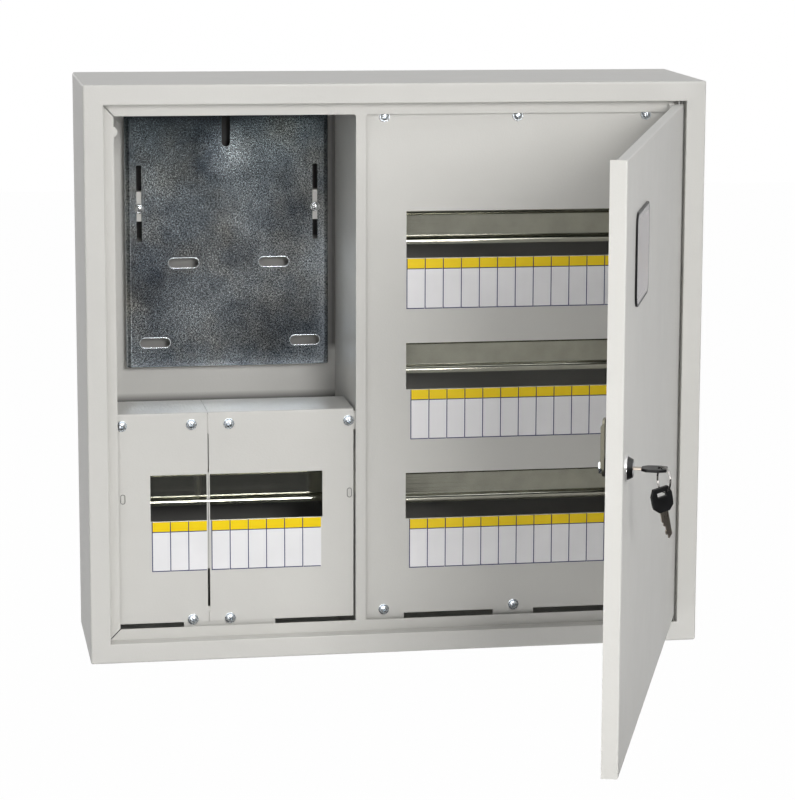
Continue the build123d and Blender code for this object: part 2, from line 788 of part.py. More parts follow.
# Plug, cam, cam screw and key turn together
cam_front = barrel_end + cam_play
cam_back = cam_front + cam_sheet
square = cam_square / 2
key_end = head_front + key_inserted
keyway_half = key_blade_width / 2 + key_play
keyway_sheet = key_sheet / 2 + key_play
cam_screw_end = cam_back - 2 * cam_sheet
plug = rod(lock_x, lock_z, head_front, barrel_end + cam_play / 2, plug_radius)
plug += slab(lock_x - square, lock_x + square, barrel_end, cam_back, lock_z - square, lock_z + square)
plug -= slab(
    lock_x - keyway_half,
    lock_x + keyway_half,
    head_front - 1,
    key_end + key_play,
    lock_z - keyway_sheet,
    lock_z + keyway_sheet,
)
plug -= rod(lock_x, lock_z, cam_screw_end, cam_back + 1, screw_radius)
cam_middle = lock_z + cam_length / 2 - cam_width / 4
cam = slot(lock_x, cam_middle, cam_front, cam_back, cam_length + cam_width / 2, cam_width, 90)
cam_blade_z = lock_z + cam_length / 2
cam += rounded(lock_x, cam_blade_z, cam_front, cam_back, cam_width, cam_length, cam_end_corner)
cam_edge_x = lock_x - cam_width / 2
cam_edge_back = cam_front + cam_edge
cam_edge_top = lock_z + cam_length - cam_end_corner
cam_fold = slab(cam_edge_x, cam_edge_x + cam_edge_sheet, cam_front, cam_edge_back, lock_z, cam_edge_top)
cam_corner = edges_at(cam_fold, lambda x, d, z: close_to(d, cam_edge_back) and close_to(z, cam_edge_top))
cam += fillet(cam_corner, cam_edge_corner)
cam_hole = square + cam_square_play
cam -= slab(
    lock_x - cam_hole, lock_x + cam_hole, cam_front - 1, cam_back + 1, lock_z - cam_hole, lock_z + cam_hole
)
cam_nut_outline = RegularPolygon(radius=cam_nut_inradius, side_count=6, major_radius=False)
cam_nut_prism = extrude(cam_nut_outline, amount=cam_nut_height)
cam_screw = Pos(lock_x, cam_back + cam_nut_height - box_depth, lock_z) * Rot(90, 0, 0) * cam_nut_prism
cam_screw += rod(lock_x, lock_z, cam_screw_end, cam_back, screw_radius)
bow_inner = head_front - key_reach
bow_outer = bow_inner - bow_length
slot_outer = bow_outer + bow_bar
slot_inner = slot_outer + bow_slot


def key_pieces():
    """Blade and bow of one key, lying flat on the lock's axis with the bow outside."""
    half = key_blade_width / 2
    sheet_low = lock_z - key_sheet / 2
    sheet_high = lock_z + key_sheet / 2
    shoulder = key_end - key_point
    blade = slab(lock_x - half, lock_x + half, bow_inner - key_tang, shoulder, sheet_low, sheet_high)
    tip = Polyline(
        (lock_x - half, shoulder - box_depth),
        (lock_x + half, shoulder - box_depth),
        (lock_x + half * 0.2, key_end - box_depth),
        (lock_x - half * 0.2, key_end - box_depth),
        close=True,
    )
    blade += Pos(0, 0, sheet_low) * extrude(make_face(tip), amount=key_sheet)
    for step, share in enumerate((0.3, 0.7, 0.5, 0.95)):
        cut_start = bow_inner + key_cut_start + step * key_cut_pitch
        cut_x = lock_x - half + share * half
        cut_end = cut_start + key_cut_pitch
        blade -= slab(lock_x - half - 1, cut_x, cut_start, cut_end, sheet_low - 1, sheet_high + 1)
    outline = []
    widths = (bow_neck, 0.94 * bow_width, bow_width, bow_width, bow_end)
    for reach, width in zip((0, 0.2, 0.4, 0.72, 1), widths):
        outline.append((width / 2, bow_inner - reach * bow_length - box_depth))
    near = [(lock_x + w, y) for w, y in outline]
    far = [(lock_x - w, y) for w, y in reversed(outline)]
    bow = extrude(make_face(Polyline(*near, *far, close=True)), amount=bow_sheet)
    bow = Pos(0, 0, lock_z - bow_sheet / 2) * bow
    half_slot = bow_slot_width / 2
    bow -= slab(
        lock_x - half_slot, lock_x + half_slot, slot_outer, slot_inner, lock_z - bow_sheet, lock_z + bow_sheet
    )
    bow -= blade
    return blade, bow


key_blade, key_bow = key_pieces()

# Key ring through the slot of the bow, and the spare key hanging from it
ring_inner = ring_radius - ring_wire
ring_x = lock_x - ring_shift
ring_y = bow_outer + bow_bar / 2 - box_depth
ring_z = lock_z + bow_sheet / 2 + ring_rest - ring_inner
wire = Plane.XZ * Pos(ring_radius, 0) * RegularPolygon(radius=ring_wire, side_count=8)
key_ring = Pos(ring_x, ring_y, ring_z) * Rot(0, 0, -ring_turn) * Rot(0, 90, 0) * revolve(wire, Axis.Z)
hang_z = ring_z - ring_radius
hang_point = Pos(ring_x, ring_y, hang_z)
contact_offset = spare_balance * math.tan(math.radians(spare_tilt))
contact = Pos(lock_x + contact_offset, slot_outer + ring_wire + spare_rest - box_depth, lock_z)
to_hanging = hang_point * Rot(0, 0, -ring_turn) * Rot(0, -spare_tilt, 0) * Rot(-90, 0, 0)
spare_place = to_hanging * contact.inverse()
spare_blade = spare_place * key_blade
spare_bow = spare_place * key_bow

# The door and all it carries turn open together
hinge = Axis((hinge_x, pin_depth - box_depth, 0), (0, 0, 1))


def opened(shape):
    """Turn a piece drawn on the shut door to where the open door carries it."""
    return shape.rotate(hinge, door_open)


nodes = {
    "box_shell": shell,
    "back_panel": back_panel,
    "partition": partition,
    "meter_plate": plate,
    "plate_brackets": brackets,
    "plate_screws": plate_screws,
    "cover_right": right_cover,
    "cover_left": left_cover,
    "cover_middle": mid_cover,
    "screws_right": right_screws,
    "screws_left": left_screws,
    "tabs_right": right_tabs,
    "tab_left": left_tab,
    "cross_bar": cross_bar,
    "rail_top": rails[0],
    "rail_middle": rails[1],
    "rail_bottom": rails[2],
    "rail_left": left_rail,
    "uprights_right": right_uprights,
    "uprights_left": left_uprights,
    "rail_screws": rail_screws,
    "label_top": row_labels[0],
    "label_middle": row_labels[1],
    "label_bottom": row_labels[2],
    "label_left": left_label,
    "label_left_wide": mid_label,
    "earth_stud": earth_stud,
    "earth_nut": earth_nut,
    "hinge_bush": bush,
    "door_panel": opened(door),
    "door_pane": opened(pane),
    "pane_edging": opened(edging),
    "hinge_pins": opened(hinge_pins),
    "hinge_brackets": opened(hinge_brackets),
    "lock_bezel": opened(bezel),
    "lock_housing": opened(housing),
    "lock_nut": opened(lock_nut),
    "lock_plug": opened(plug),
    "lock_cam": opened(cam),
    "cam_screw": opened(cam_screw),
    "key_blade": opened(key_blade),
    "key_bow": opened(key_bow),
    "key_ring": opened(key_ring),
    "spare_blade": opened(spare_blade),
    "spare_bow": opened(spare_bow),
}

os.makedirs("parts", exist_ok=True)
for name, shape in nodes.items():
    export_step(shape, f"parts/{name}.step")
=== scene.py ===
import logging
import math
from dataclasses import dataclass
from enum import Enum
from typing import Callable, Iterable, Sequence

import bmesh
import bpy
from mathutils import Matrix, Vector


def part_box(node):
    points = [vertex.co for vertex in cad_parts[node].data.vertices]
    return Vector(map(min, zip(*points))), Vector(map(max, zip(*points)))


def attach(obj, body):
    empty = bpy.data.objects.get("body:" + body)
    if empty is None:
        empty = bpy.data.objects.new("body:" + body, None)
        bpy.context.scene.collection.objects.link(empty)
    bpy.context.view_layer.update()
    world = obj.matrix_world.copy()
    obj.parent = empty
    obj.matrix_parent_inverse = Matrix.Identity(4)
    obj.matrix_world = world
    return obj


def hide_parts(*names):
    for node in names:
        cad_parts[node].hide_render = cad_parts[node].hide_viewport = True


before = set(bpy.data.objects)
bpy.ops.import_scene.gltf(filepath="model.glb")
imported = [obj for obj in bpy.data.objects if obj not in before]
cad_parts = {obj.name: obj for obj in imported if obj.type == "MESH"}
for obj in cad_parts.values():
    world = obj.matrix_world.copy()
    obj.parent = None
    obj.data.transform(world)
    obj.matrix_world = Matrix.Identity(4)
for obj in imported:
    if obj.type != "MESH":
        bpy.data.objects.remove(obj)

LOG = logging.getLogger("enclosure")
MM = 0.001
FULL_TURN = 2 * math.pi
WELD = 1e-6
FLAT_ANGLE = math.radians(1.0)
SHARP_ANGLE = math.radians(35.0)
MOTTLE_STOPS = (0.3, 0.7)
Pair = tuple[float, float]
Rgb = tuple[float, float, float]
Corner = tuple[float, float, float]
Inputs = dict[str | int, object]
WHITE: Rgb = (1.0, 1.0, 1.0)
Node = bpy.types.Node
Socket = bpy.types.NodeSocket
Material = bpy.types.Material
Mesh = bpy.types.Mesh


class Body(Enum):
    """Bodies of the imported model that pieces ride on."""

    BOX = "box"
    LOCK = "lock"
    RING = "ring"
    SPARE = "spare"


class Slot(Enum):
    """Material slots of the record that pieces take."""

    POWDER = "powder_coat"
    GALVANISED = "galvanised"
    ZINC = "zinc"
    KEY_STEEL = "key_steel"
    BLACK = "black_plastic"
    LABEL = "label"


class LabelTone(Enum):
    """Two tones of label film and yellow.

    The row labels take lighter copies of both, as painted light.
    """

    SHORT = "short"
    # lighter copies: painted light
    ROW = "row"


# Node trees


def scaled(colour: Rgb, share: float) -> Rgb:
    """Give a colour made lighter or darker by a share."""
    return (colour[0] * share, colour[1] * share, colour[2] * share)


class NodeGraph:
    """A node tree under construction."""

    def __init__(self, tree: bpy.types.NodeTree) -> None:
        """Take the tree to add nodes to."""
        self.tree = tree

    def feed(self, node: Node, inputs: Inputs) -> None:
        """Link sockets to a node's inputs and set the others to constants.

        Args:
            node: Node to feed.
            inputs: A socket or a constant for each input, by its name or number.
        """
        for key, value in inputs.items():
            if isinstance(value, Socket):
                self.tree.links.new(value, node.inputs[key])
            else:
                node.inputs[key].default_value = value

    def add(self, kind: str, inputs: Inputs | None = None, **settings: object) -> Node:
        """Add a node.

        Args:
            kind: Blender's node type.
            inputs: A socket or a constant for each input that doesn't keep its default.
            settings: Properties of the node.

        Returns:
            The node.
        """
        node = self.tree.nodes.new(kind)
        for key, value in settings.items():
            setattr(node, key, value)
        self.feed(node, inputs or {})
        return node


class ShaderGraph(NodeGraph):
    """A shader tree under construction."""

    def split(self, vector: Socket) -> dict[str, Socket]:
        """Take a vector apart into its sockets by axis."""
        node = self.add("ShaderNodeSeparateXYZ", {"Vector": vector})
        return {axis: node.outputs[axis] for axis in "XYZ"}

    def stretched(self, vector: Socket, scale: Corner) -> Socket:
        """Scale coordinates by axis."""
        return self.add("ShaderNodeMapping", {"Vector": vector, "Scale": scale}).outputs["Vector"]

    def noise(
        self, vector: Socket, scale: float, detail: float, roughness: float = 0.5
    ) -> Socket:
        """Add a noise texture, with its scale in cells for each metre."""
        inputs = {"Vector": vector, "Scale": scale, "Detail": detail, "Roughness": roughness}
        return self.add("ShaderNodeTexNoise", inputs).outputs["Fac"]

    def ramp(self, factor: Socket, first: Rgb, last: Rgb, stops: Pair = (0.0, 1.0)) -> Socket:
        """Turn a factor into a colour between two.

        Args:
            factor: Value from 0 to 1.
            first: Colour at and below the first stop.
            last: Colour at and above the last stop.
            stops: Values of the factor at both stops.

        Returns:
            The colour socket.
        """
        node = self.add("ShaderNodeValToRGB", {"Fac": factor})
        for element, stop, colour in zip(node.color_ramp.elements, stops, (first, last)):
            element.position = stop
            element.color = (*colour, 1.0)
        return node.outputs["Color"]

    def mottled(self, factor: Socket, colour: Rgb, low: float, high: float) -> Socket:
        """Vary a colour between two shares of itself."""
        return self.ramp(factor, scaled(colour, low), scaled(colour, high), MOTTLE_STOPS)

    def span(
        self, value: Socket, low: float, high: float, start: float = 0.0, end: float = 1.0
    ) -> Socket:
        """Map a value from start..end to low..high."""
        inputs = {"Value": value, "From Min": start, "From Max": end, "To Min": low, "To Max": high}
        return self.add("ShaderNodeMapRange", inputs).outputs["Result"]

    def calculated(self, operation: str, first: Socket, second: Socket | float) -> Socket:
        """Work out a value from a socket and another socket or a number."""
        node = self.add("ShaderNodeMath", {0: first, 1: second}, operation=operation)
        return node.outputs["Value"]

    def bump(
        self,
        height: Socket,
        strength: Socket | float,
        distance: float,
        under: Socket | None = None,
    ) -> Socket:
        """Add a bump node.

        Args:
            height: Height from 0 to 1.
            strength: Share of the bump that shows.
            distance: Height in metres that 1 stands for.
            under: Normal of a coarser bump below this one.

        Returns:
            The normal socket.
        """
        inputs: Inputs = {"Height": height, "Strength": strength, "Distance": distance}
        if under is not None:
            inputs["Normal"] = under
        return self.add("ShaderNodeBump", inputs).outputs["Normal"]

    def mixed(self, factor: Socket, first: Socket, second: Socket) -> Socket:
        """Blend from the first shader to the second by a factor."""
        inputs = {"Fac": factor, 1: first, 2: second}
        return self.add("ShaderNodeMixShader", inputs).outputs["Shader"]

    def multiplied(self, first: Socket, second: Socket) -> Socket:
        """Multiply two colours."""
        node = self.add("ShaderNodeMix", data_type="RGBA", blend_type="MULTIPLY")
        self.feed(node, {"Factor": 1.0, "A": first, "B": second})
        return node.outputs["Result"]


class MaterialGraph(ShaderGraph):
    """The tree of a new material, with its principled shader and its Object coordinates."""

    def __init__(self, name: str) -> None:
        """Make the material.

        Args:
            name: Name of the material.
        """
        self.material = bpy.data.materials.new(name)
        self.material.use_nodes = True
        super().__init__(self.material.node_tree)
        self.shader = self.tree.nodes["Principled BSDF"]
        self.place = self.add("ShaderNodeTexCoord").outputs["Object"]

    def finished(
        self, colour: Socket, roughness: Socket, normal: Socket, constants: Inputs
    ) -> Material:
        """Feed the principled shader and give the material.

        Args:
            colour: Base colour.
            roughness: Roughness.
            normal: Normal of the finest bump.
            constants: Other inputs of the shader.

        Returns:
            The material.
        """
        surface: Inputs = {"Base Color": colour, "Roughness": roughness, "Normal": normal}
        self.feed(self.shader, {**surface, **constants})
        return self.material


# Finishes


@dataclass(frozen=True)
class PowderCoat:
    """Light-grey powder coat with a fine orange-peel skin."""

    name: str = "powder_coat_grey"
    colour: Rgb = (0.64, 0.635, 0.61)
    roughness: float = 0.34
    peel_scale: float = 620.0
    peel_height: float = 0.00016
    peel_strength: float = 0.6
    shelf_strength: float = 0.6
    shelf_depth: Pair = (-0.1384, -0.1364)
    peel_stretch: Corner = (1.0, 1.0, 1.0)
    cloud_scale: float = 9.0
    cloud_shade: Pair = (0.975, 1.02)
    gloss_scale: float = 45.0
    gloss_spread: Pair = (0.05, 0.06)
    wave_scale: float = 26.0
    wave_strength: float = 0.12
    wave_height: float = 0.0008
    specular: float = 0.42

    def with_painted_shade(self, graph: MaterialGraph, colour: Socket) -> Socket:
        """Give the colour as it is; the back coat paints shade on it by place."""
        return colour

    def build(self) -> Material:
        """Make the material.

        Returns:
            The finished material.
        """
        graph = MaterialGraph(self.name)
        cloud = graph.noise(graph.place, self.cloud_scale, detail=3.0)
        colour = graph.mottled(cloud, self.colour, *self.cloud_shade)
        gloss = graph.noise(graph.place, self.gloss_scale, detail=4.0)
        below, above = self.gloss_spread
        rough = graph.span(gloss, self.roughness - below, self.roughness + above)
        skin = graph.stretched(graph.place, self.peel_stretch)
        peel = graph.noise(skin, self.peel_scale, detail=2.0, roughness=0.45)
        wave = graph.noise(graph.place, self.wave_scale, detail=1.0)
        coarse = graph.bump(wave, self.wave_strength, self.wave_height)
        strength: Socket | float = self.peel_strength
        if self.shelf_strength != self.peel_strength:
            depth = graph.split(graph.place)["Y"]
            strength = graph.span(depth, strength, self.shelf_strength, *self.shelf_depth)
        fine = graph.bump(peel, strength, self.peel_height, coarse)
        constants: Inputs = {"Specular IOR Level": self.specular}
        return graph.finished(self.with_painted_shade(graph, colour), rough, fine, constants)


@dataclass(frozen=True)
class ShadedBackCoat(PowderCoat):
    """Powder coat of the back wall, painted lighter, with painted shade where things screen it.

    The lighter colour is painted light. A shaded field is given by its left, right, low and high
    edge and its share of painted shade, which stands for the shadow of plate, partition and covers.
    """

    name: str = "powder_coat_recess"
    # painted light: the back wall's coat is lighter than the coat elsewhere
    colour: Rgb = (0.74, 0.735, 0.71)
    # colour that the painted shade darkens towards in the shaded fields
    dull: Rgb = (0.02, 0.02, 0.02)
    shaded_fields: tuple[tuple[float, float, float, float, float], ...] = (
        (-0.243, -0.05, 0.105, 0.3, 1.0),
        (-0.243, -0.05, -0.005, 0.105, 0.55),
        (-0.05, -0.01, -0.004, 0.3, 0.8),
        (-0.3, -0.02, -0.3, -0.042, 0.78),
        (-0.01, 0.3, -0.3, 0.3, 0.38),
    )
    fade: float = 0.008
    inner_face: Pair = (-0.0004, -0.0007)

    def with_painted_shade(self, graph: MaterialGraph, colour: Socket) -> Socket:
        """Paint shade on the shaded fields of the inner face.

        Args:
            graph: Node tree of the material.
            colour: Colour of the open coat.

        Returns:
            The colour with its painted shade.
        """
        axes = graph.split(graph.place)
        for left, right, low, high, share in self.shaded_fields:
            field = graph.span(axes["X"], 0.0, share, left, left + self.fade)
            for axis, start, end in (
                ("X", right, right - self.fade),
                ("Z", low, low + self.fade),
                ("Z", high, high - self.fade),
                ("Y", *self.inner_face),
            ):
                step = graph.span(axes[axis], 0.0, 1.0, start, end)
                field = graph.calculated("MULTIPLY", field, step)
            # painted shade: darken the coat in this field
            colour = graph.multiplied(colour, graph.ramp(field, WHITE, self.dull))
        return colour


@dataclass(frozen=True)
class GalvanisedSheet:
    """Zinc-dipped sheet with a mottled, grainy spangle.

    Its top is darker as painted shade, and a round patch is lighter as a painted highlight.
    """

    name: str = "galvanised_plate"
    dark: Rgb = (0.15, 0.176, 0.211)
    light: Rgb = (0.477, 0.515, 0.54)
    cloud_scale: float = 15.0
    cloud_stops: Pair = (0.34, 0.66)
    warm: Rgb = (1.1, 1.0, 0.88)
    tint_scale: float = 22.0
    tint_stops: Pair = (0.45, 0.75)
    fleck_dark: Rgb = (0.42, 0.43, 0.45)
    fleck_light: Rgb = (1.7, 1.7, 1.7)
    grain_scale: float = 620.0
    grain_stops: Pair = (0.36, 0.64)
    grain_strength: float = 0.25
    grain_height: float = 0.0001
    roughness: float = 0.225
    roughness_cloud: float = 0.035
    roughness_grain: float = 0.03
    # painted shade: heights over which the plate darkens towards its top
    painted_shade_height: Pair = (0.1, 0.235)
    painted_shade_share: Rgb = (0.226, 0.255, 0.262)
    # painted highlight: centre, size and brightness of a round light patch
    painted_highlight_place: Corner = (-0.1486, -0.016, 0.199)
    painted_highlight_radius: float = 0.03
    painted_highlight_glow: Rgb = (3.0, 2.9, 2.8)
    crystal_scale: float = 170.0
    crystal_strength: float = 0.06
    crystal_height: float = 0.0003

    def painted_highlight(self, graph: MaterialGraph) -> Socket:
        """Paint a round highlight.

        Args:
            graph: Node tree of the material.

        Returns:
            The painted highlight as a share of brightness, as a colour.
        """
        centred = graph.add("ShaderNodeMapping", vector_type="TEXTURE")
        size = (self.painted_highlight_radius,) * 3
        graph.feed(centred, {"Vector": graph.place, "Location": self.painted_highlight_place, "Scale": size})
        inputs: Inputs = {"Vector": centred.outputs["Vector"]}
        halo = graph.add("ShaderNodeTexGradient", inputs, gradient_type="SPHERICAL")
        return graph.ramp(halo.outputs["Fac"], WHITE, self.painted_highlight_glow)

    def build(self) -> Material:
        """Make the material.

        Returns:
            The finished material.
        """
        graph = MaterialGraph(self.name)
        cloud = graph.noise(graph.place, self.cloud_scale, detail=5.0, roughness=0.6)
        tint = graph.noise(graph.place, self.tint_scale, detail=3.0)
        grain = graph.noise(graph.place, self.grain_scale, detail=2.0, roughness=0.6)
        rise = graph.span(graph.split(graph.place)["Z"], 0.0, 1.0, *self.painted_shade_height)
        colour = graph.ramp(cloud, self.dark, self.light, self.cloud_stops)
        for layer in (
            graph.ramp(tint, WHITE, self.warm, self.tint_stops),
            # painted shade towards the top
            graph.ramp(rise, WHITE, self.painted_shade_share),
            graph.ramp(grain, self.fleck_dark, self.fleck_light, self.grain_stops),
            # painted highlight
            self.painted_highlight(graph),
        ):
            colour = graph.multiplied(colour, layer)
        low, high = self.roughness - self.roughness_cloud, self.roughness + self.roughness_cloud
        smear = graph.span(cloud, low, high)
        speck = graph.span(grain, -self.roughness_grain, self.roughness_grain)
        rough = graph.calculated("ADD", smear, speck)
        crystal = graph.add(
            "ShaderNodeTexVoronoi", {"Vector": graph.place, "Scale": self.crystal_scale}
        ).outputs["Distance"]
        skin = graph.bump(grain, self.grain_strength, self.grain_height)
        spangle = graph.bump(crystal, self.crystal_strength, self.crystal_height, skin)
        return graph.finished(colour, rough, spangle, {"Metallic": 1.0})


@dataclass(frozen=True)
class PlatedMetal:
    """Plated or bare metal with fine streaks along one axis."""

    name: str
    colour: Rgb
    roughness: float
    streak: Corner = (400.0, 400.0, 400.0)
    spread: float = 0.1
    shade: float = 0.12
    streak_height: float = 0.00002
    streak_strength: float = 0.25
    cloud_scale: float = 60.0
    least_roughness: float = 0.03

    def build(self) -> Material:
        """Make the material.

        Returns:
            The finished material.
        """
        graph = MaterialGraph(self.name)
        along = graph.stretched(graph.place, self.streak)
        lines = graph.noise(along, scale=1.0, detail=3.0, roughness=0.6)
        cloud = graph.noise(graph.place, self.cloud_scale, detail=3.0)
        colour = graph.mottled(cloud, self.colour, 1 - self.shade, 1 + self.shade)
        smoothest = max(self.least_roughness, self.roughness - self.spread)
        rough = graph.span(lines, smoothest, self.roughness + self.spread)
        skin = graph.bump(lines, self.streak_strength, self.streak_height)
        return graph.finished(colour, rough, skin, {"Metallic": 1.0})


@dataclass(frozen=True)
class MouldedPlastic:
    """Black moulded plastic with a fine matt grain."""

    name: str = "black_moulding"
    colour: Rgb = (0.006, 0.006, 0.0065)
    shade: Pair = (0.75, 1.5)
    roughness: float = 0.34
    spread: Pair = (0.08, 0.1)
    cloud_scale: float = 80.0
    grain_scale: float = 1500.0
    grain_strength: float = 0.25
    grain_height: float = 0.00004
    specular: float = 0.3

    def build(self) -> Material:
        """Make the material.

        Returns:
            The finished material.
        """
        graph = MaterialGraph(self.name)
        grain = graph.noise(graph.place, self.grain_scale, detail=2.0)
        cloud = graph.noise(graph.place, self.cloud_scale, detail=2.0)
        colour = graph.mottled(cloud, self.colour, *self.shade)
        below, above = self.spread
        rough = graph.span(cloud, self.roughness - below, self.roughness + above)
        skin = graph.bump(grain, self.grain_strength, self.grain_height)
        return graph.finished(colour, rough, skin, {"Specular IOR Level": self.specular})


@dataclass(frozen=True)
class PrintedFilm:
    """Label film or one of its inks."""

    name: str
    colour: Rgb
    shade: Pair = (0.97, 1.02)
    roughness: float = 0.5
    spread: float = 0.06
    gloss: float = 0.13
    fibre_scale: float = 900.0
    cloud_scale: float = 30.0
    cloud_strength: float = 0.1
    cloud_height: float = 0.0004

    def build(self) -> Material:
        """Make the material.

        Returns:
            The finished material.
        """
        graph = MaterialGraph(self.name)
        fibre = graph.noise(graph.place, self.fibre_scale, detail=2.0)
        cloud = graph.noise(graph.place, self.cloud_scale, detail=2.0)
        colour = graph.mottled(cloud, self.colour, *self.shade)
        rough = graph.span(fibre, self.roughness - self.spread, self.roughness + self.spread)
        skin = graph.bump(cloud, self.cloud_strength, self.cloud_height)
        return graph.finished(colour, rough, skin, {"Specular IOR Level": self.gloss})


@dataclass(frozen=True)
class ClearSheet:
    """Slightly tinted clear plastic of the door's window."""

    name: str = "clear_pane"
    colour: Rgb = (0.86, 0.8, 0.82)
    shade: Pair = (0.97, 1.0)
    roughness: Pair = (0.06, 0.14)
    haze_scale: float = 120.0
    wave_scale: float = 18.0
    wave_strength: float = 0.08
    wave_height: float = 0.0006
    transmission: float = 0.86
    index: float = 1.49

    def build(self) -> Material:
        """Make the material.

        Returns:
            The finished material.
        """
        graph = MaterialGraph(self.name)
        haze = graph.noise(graph.place, self.haze_scale, detail=3.0)
        wave = graph.noise(graph.place, self.wave_scale, detail=1.0)
        colour = graph.mottled(haze, self.colour, *self.shade)
        rough = graph.span(haze, *self.roughness)
        skin = graph.bump(wave, self.wave_strength, self.wave_height)
        constants: Inputs = {"Transmission Weight": self.transmission, "IOR": self.index}
        return graph.finished(colour, rough, skin, constants)


class Finishes:
    """All materials of the enclosure, made once."""

    def __init__(self) -> None:
        """Build every finish."""
        self.powder = PowderCoat().build()
        # back wall coat: lighter as painted light, with painted shade behind plate, partition and
        # covers
        self.recess = ShadedBackCoat().build()
        self.cover = PowderCoat(
            "powder_coat_cover",
            peel_height=0.0004,
            peel_strength=0.24,
            shelf_strength=1.0,
            peel_stretch=(0.7, 0.16, 1.0),
        ).build()
        self.plate = GalvanisedSheet().build()
        self.rail = PlatedMetal(
            "zinc_rail", (0.57, 0.57, 0.49), 0.14, (3.0, 420.0, 420.0), 0.07, 0.08, 0.0002
        ).build()
        self.zinc = PlatedMetal("bright_zinc", (0.84, 0.88, 0.92), 0.27, spread=0.06).build()
        self.bright = PlatedMetal(
            "bright_screw", (0.95, 0.96, 0.97), 0.18, spread=0.05, shade=0.04
        ).build()
        self.chrome = PlatedMetal(
            "polished_chrome", (0.8, 0.8, 0.81), 0.1, spread=0.04, shade=0.03
        ).build()
        self.cam = PlatedMetal(
            "cam_steel", (0.245, 0.235, 0.185), 0.45, (500.0, 500.0, 40.0)
        ).build()
        self.key = PlatedMetal("key_steel", (0.52, 0.455, 0.39), 0.3, (700.0, 700.0, 60.0)).build()
        self.ring = PlatedMetal("ring_wire", (0.3, 0.29, 0.28), 0.16).build()
        self.pin = PlatedMetal("dull_pin", (0.3, 0.3, 0.29), 0.45).build()
        self.black = MouldedPlastic().build()
        # painted light: the row copies of film and yellow are lighter than the short ones
        self.film = {
            LabelTone.SHORT: PrintedFilm("label_film", (0.83, 0.83, 0.85)).build(),
            LabelTone.ROW: PrintedFilm("label_film_row", (0.905, 0.9, 0.92)).build(),
        }
        self.yellow = {
            LabelTone.SHORT: PrintedFilm("label_yellow", (0.9, 0.65, 0.008)).build(),
            LabelTone.ROW: PrintedFilm("label_yellow_row", (0.98, 0.71, 0.028)).build(),
        }
        self.ink = PrintedFilm("label_ink", (0.018, 0.026, 0.13)).build()
        self.clear = ClearSheet().build()
        # painted shade: dark coat of the rings that stand for the shade of the covers' slot grooves
        self.shade = PowderCoat("powder_coat_groove", (0.2, 0.2, 0.19)).build()


# Mesh helpers


def linked(name: str, data: bpy.types.ID) -> bpy.types.Object:
    """Make an object and link it to the scene.

    Args:
        name: Name of the object.
        data: Mesh, lamp or camera that it shows.

    Returns:
        The new object.
    """
    made = bpy.data.objects.new(name, data)
    bpy.context.scene.collection.objects.link(made)
    return made


def add_piece(
    mesh: Mesh, name: str, body: Body, replaces: Iterable[str] = ()
) -> None:
    """Put a finished mesh into the scene as a piece.

    Args:
        mesh: Mesh with its place in its vertices.
        name: Name of the piece.
        body: Body that carries it.
        replaces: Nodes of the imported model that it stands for.
    """
    mesh.name = name
    piece = linked(name, mesh)
    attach(piece, body.value)
    nodes = tuple(replaces)
    if nodes:
        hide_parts(*nodes)
    LOG.info("piece %s on %s, %d faces", name, body.value, len(mesh.polygons))


def baked(source: bpy.types.Object) -> Mesh:
    """Turn an object with modifiers into a plain mesh and remove the object.

    Args:
        source: Object to read.

    Returns:
        The mesh, as evaluated.
    """
    bpy.context.view_layer.update()
    graph = bpy.context.evaluated_depsgraph_get()
    mesh = bpy.data.meshes.new_from_object(
        source.evaluated_get(graph), preserve_all_data_layers=True, depsgraph=graph
    )
    source.modifiers.clear()
    bpy.data.objects.remove(source, do_unlink=True)
    return mesh


def dress(nodes: Iterable[str], material: Material) -> None:
    """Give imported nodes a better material.

    Args:
        nodes: Names of the nodes.
        material: Finish they take.
    """
    for name in nodes:
        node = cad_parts[name]
        if not node.material_slots:
            node.data.materials.append(material)
        for place in node.material_slots:
            place.material = material
        LOG.info("node %s takes %s", name, material.name)


def plain_mesh(work: bmesh.types.BMesh, name: str) -> Mesh:
    """Turn an editable mesh into a plain one and free it.

    Args:
        work: Mesh under construction.
        name: Name of the plain mesh.

    Returns:
        The plain mesh.
    """
    mesh = bpy.data.meshes.new(name)
    work.to_mesh(mesh)
    work.free()
    return mesh


def softened(node: str, width: float, material: Material, segments: int = 2) -> Mesh:
    """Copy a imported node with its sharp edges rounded.

    Args:
        node: Name of the node.
        width: Width of the rounding in metres.
        material: Finish of the copy.
        segments: Facets of each rounding.

    Returns:
        The rounded mesh.
    """
    work = bmesh.new()
    work.from_mesh(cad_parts[node].data)
    bmesh.ops.remove_doubles(work, verts=work.verts, dist=WELD)
    bmesh.ops.dissolve_limit(work, angle_limit=FLAT_ANGLE, verts=work.verts, edges=work.edges)
    mesh = plain_mesh(work, f"{node}_copy")
    mesh.materials.clear()
    mesh.materials.append(material)
    helper = linked(f"{node}_helper", mesh)
    rounding = helper.modifiers.new("rounding", "BEVEL")
    rounding.width = width
    rounding.segments = segments
    rounding.limit_method = "ANGLE"
    rounding.angle_limit = SHARP_ANGLE
    rounding.harden_normals = False
    result = baked(helper)
    for face in result.polygons:
        face.use_smooth = False
    return result


def around(steps: int) -> list[float]:
    """Give the angles of evenly spaced steps round a full turn."""
    return [FULL_TURN * step / steps for step in range(steps)]


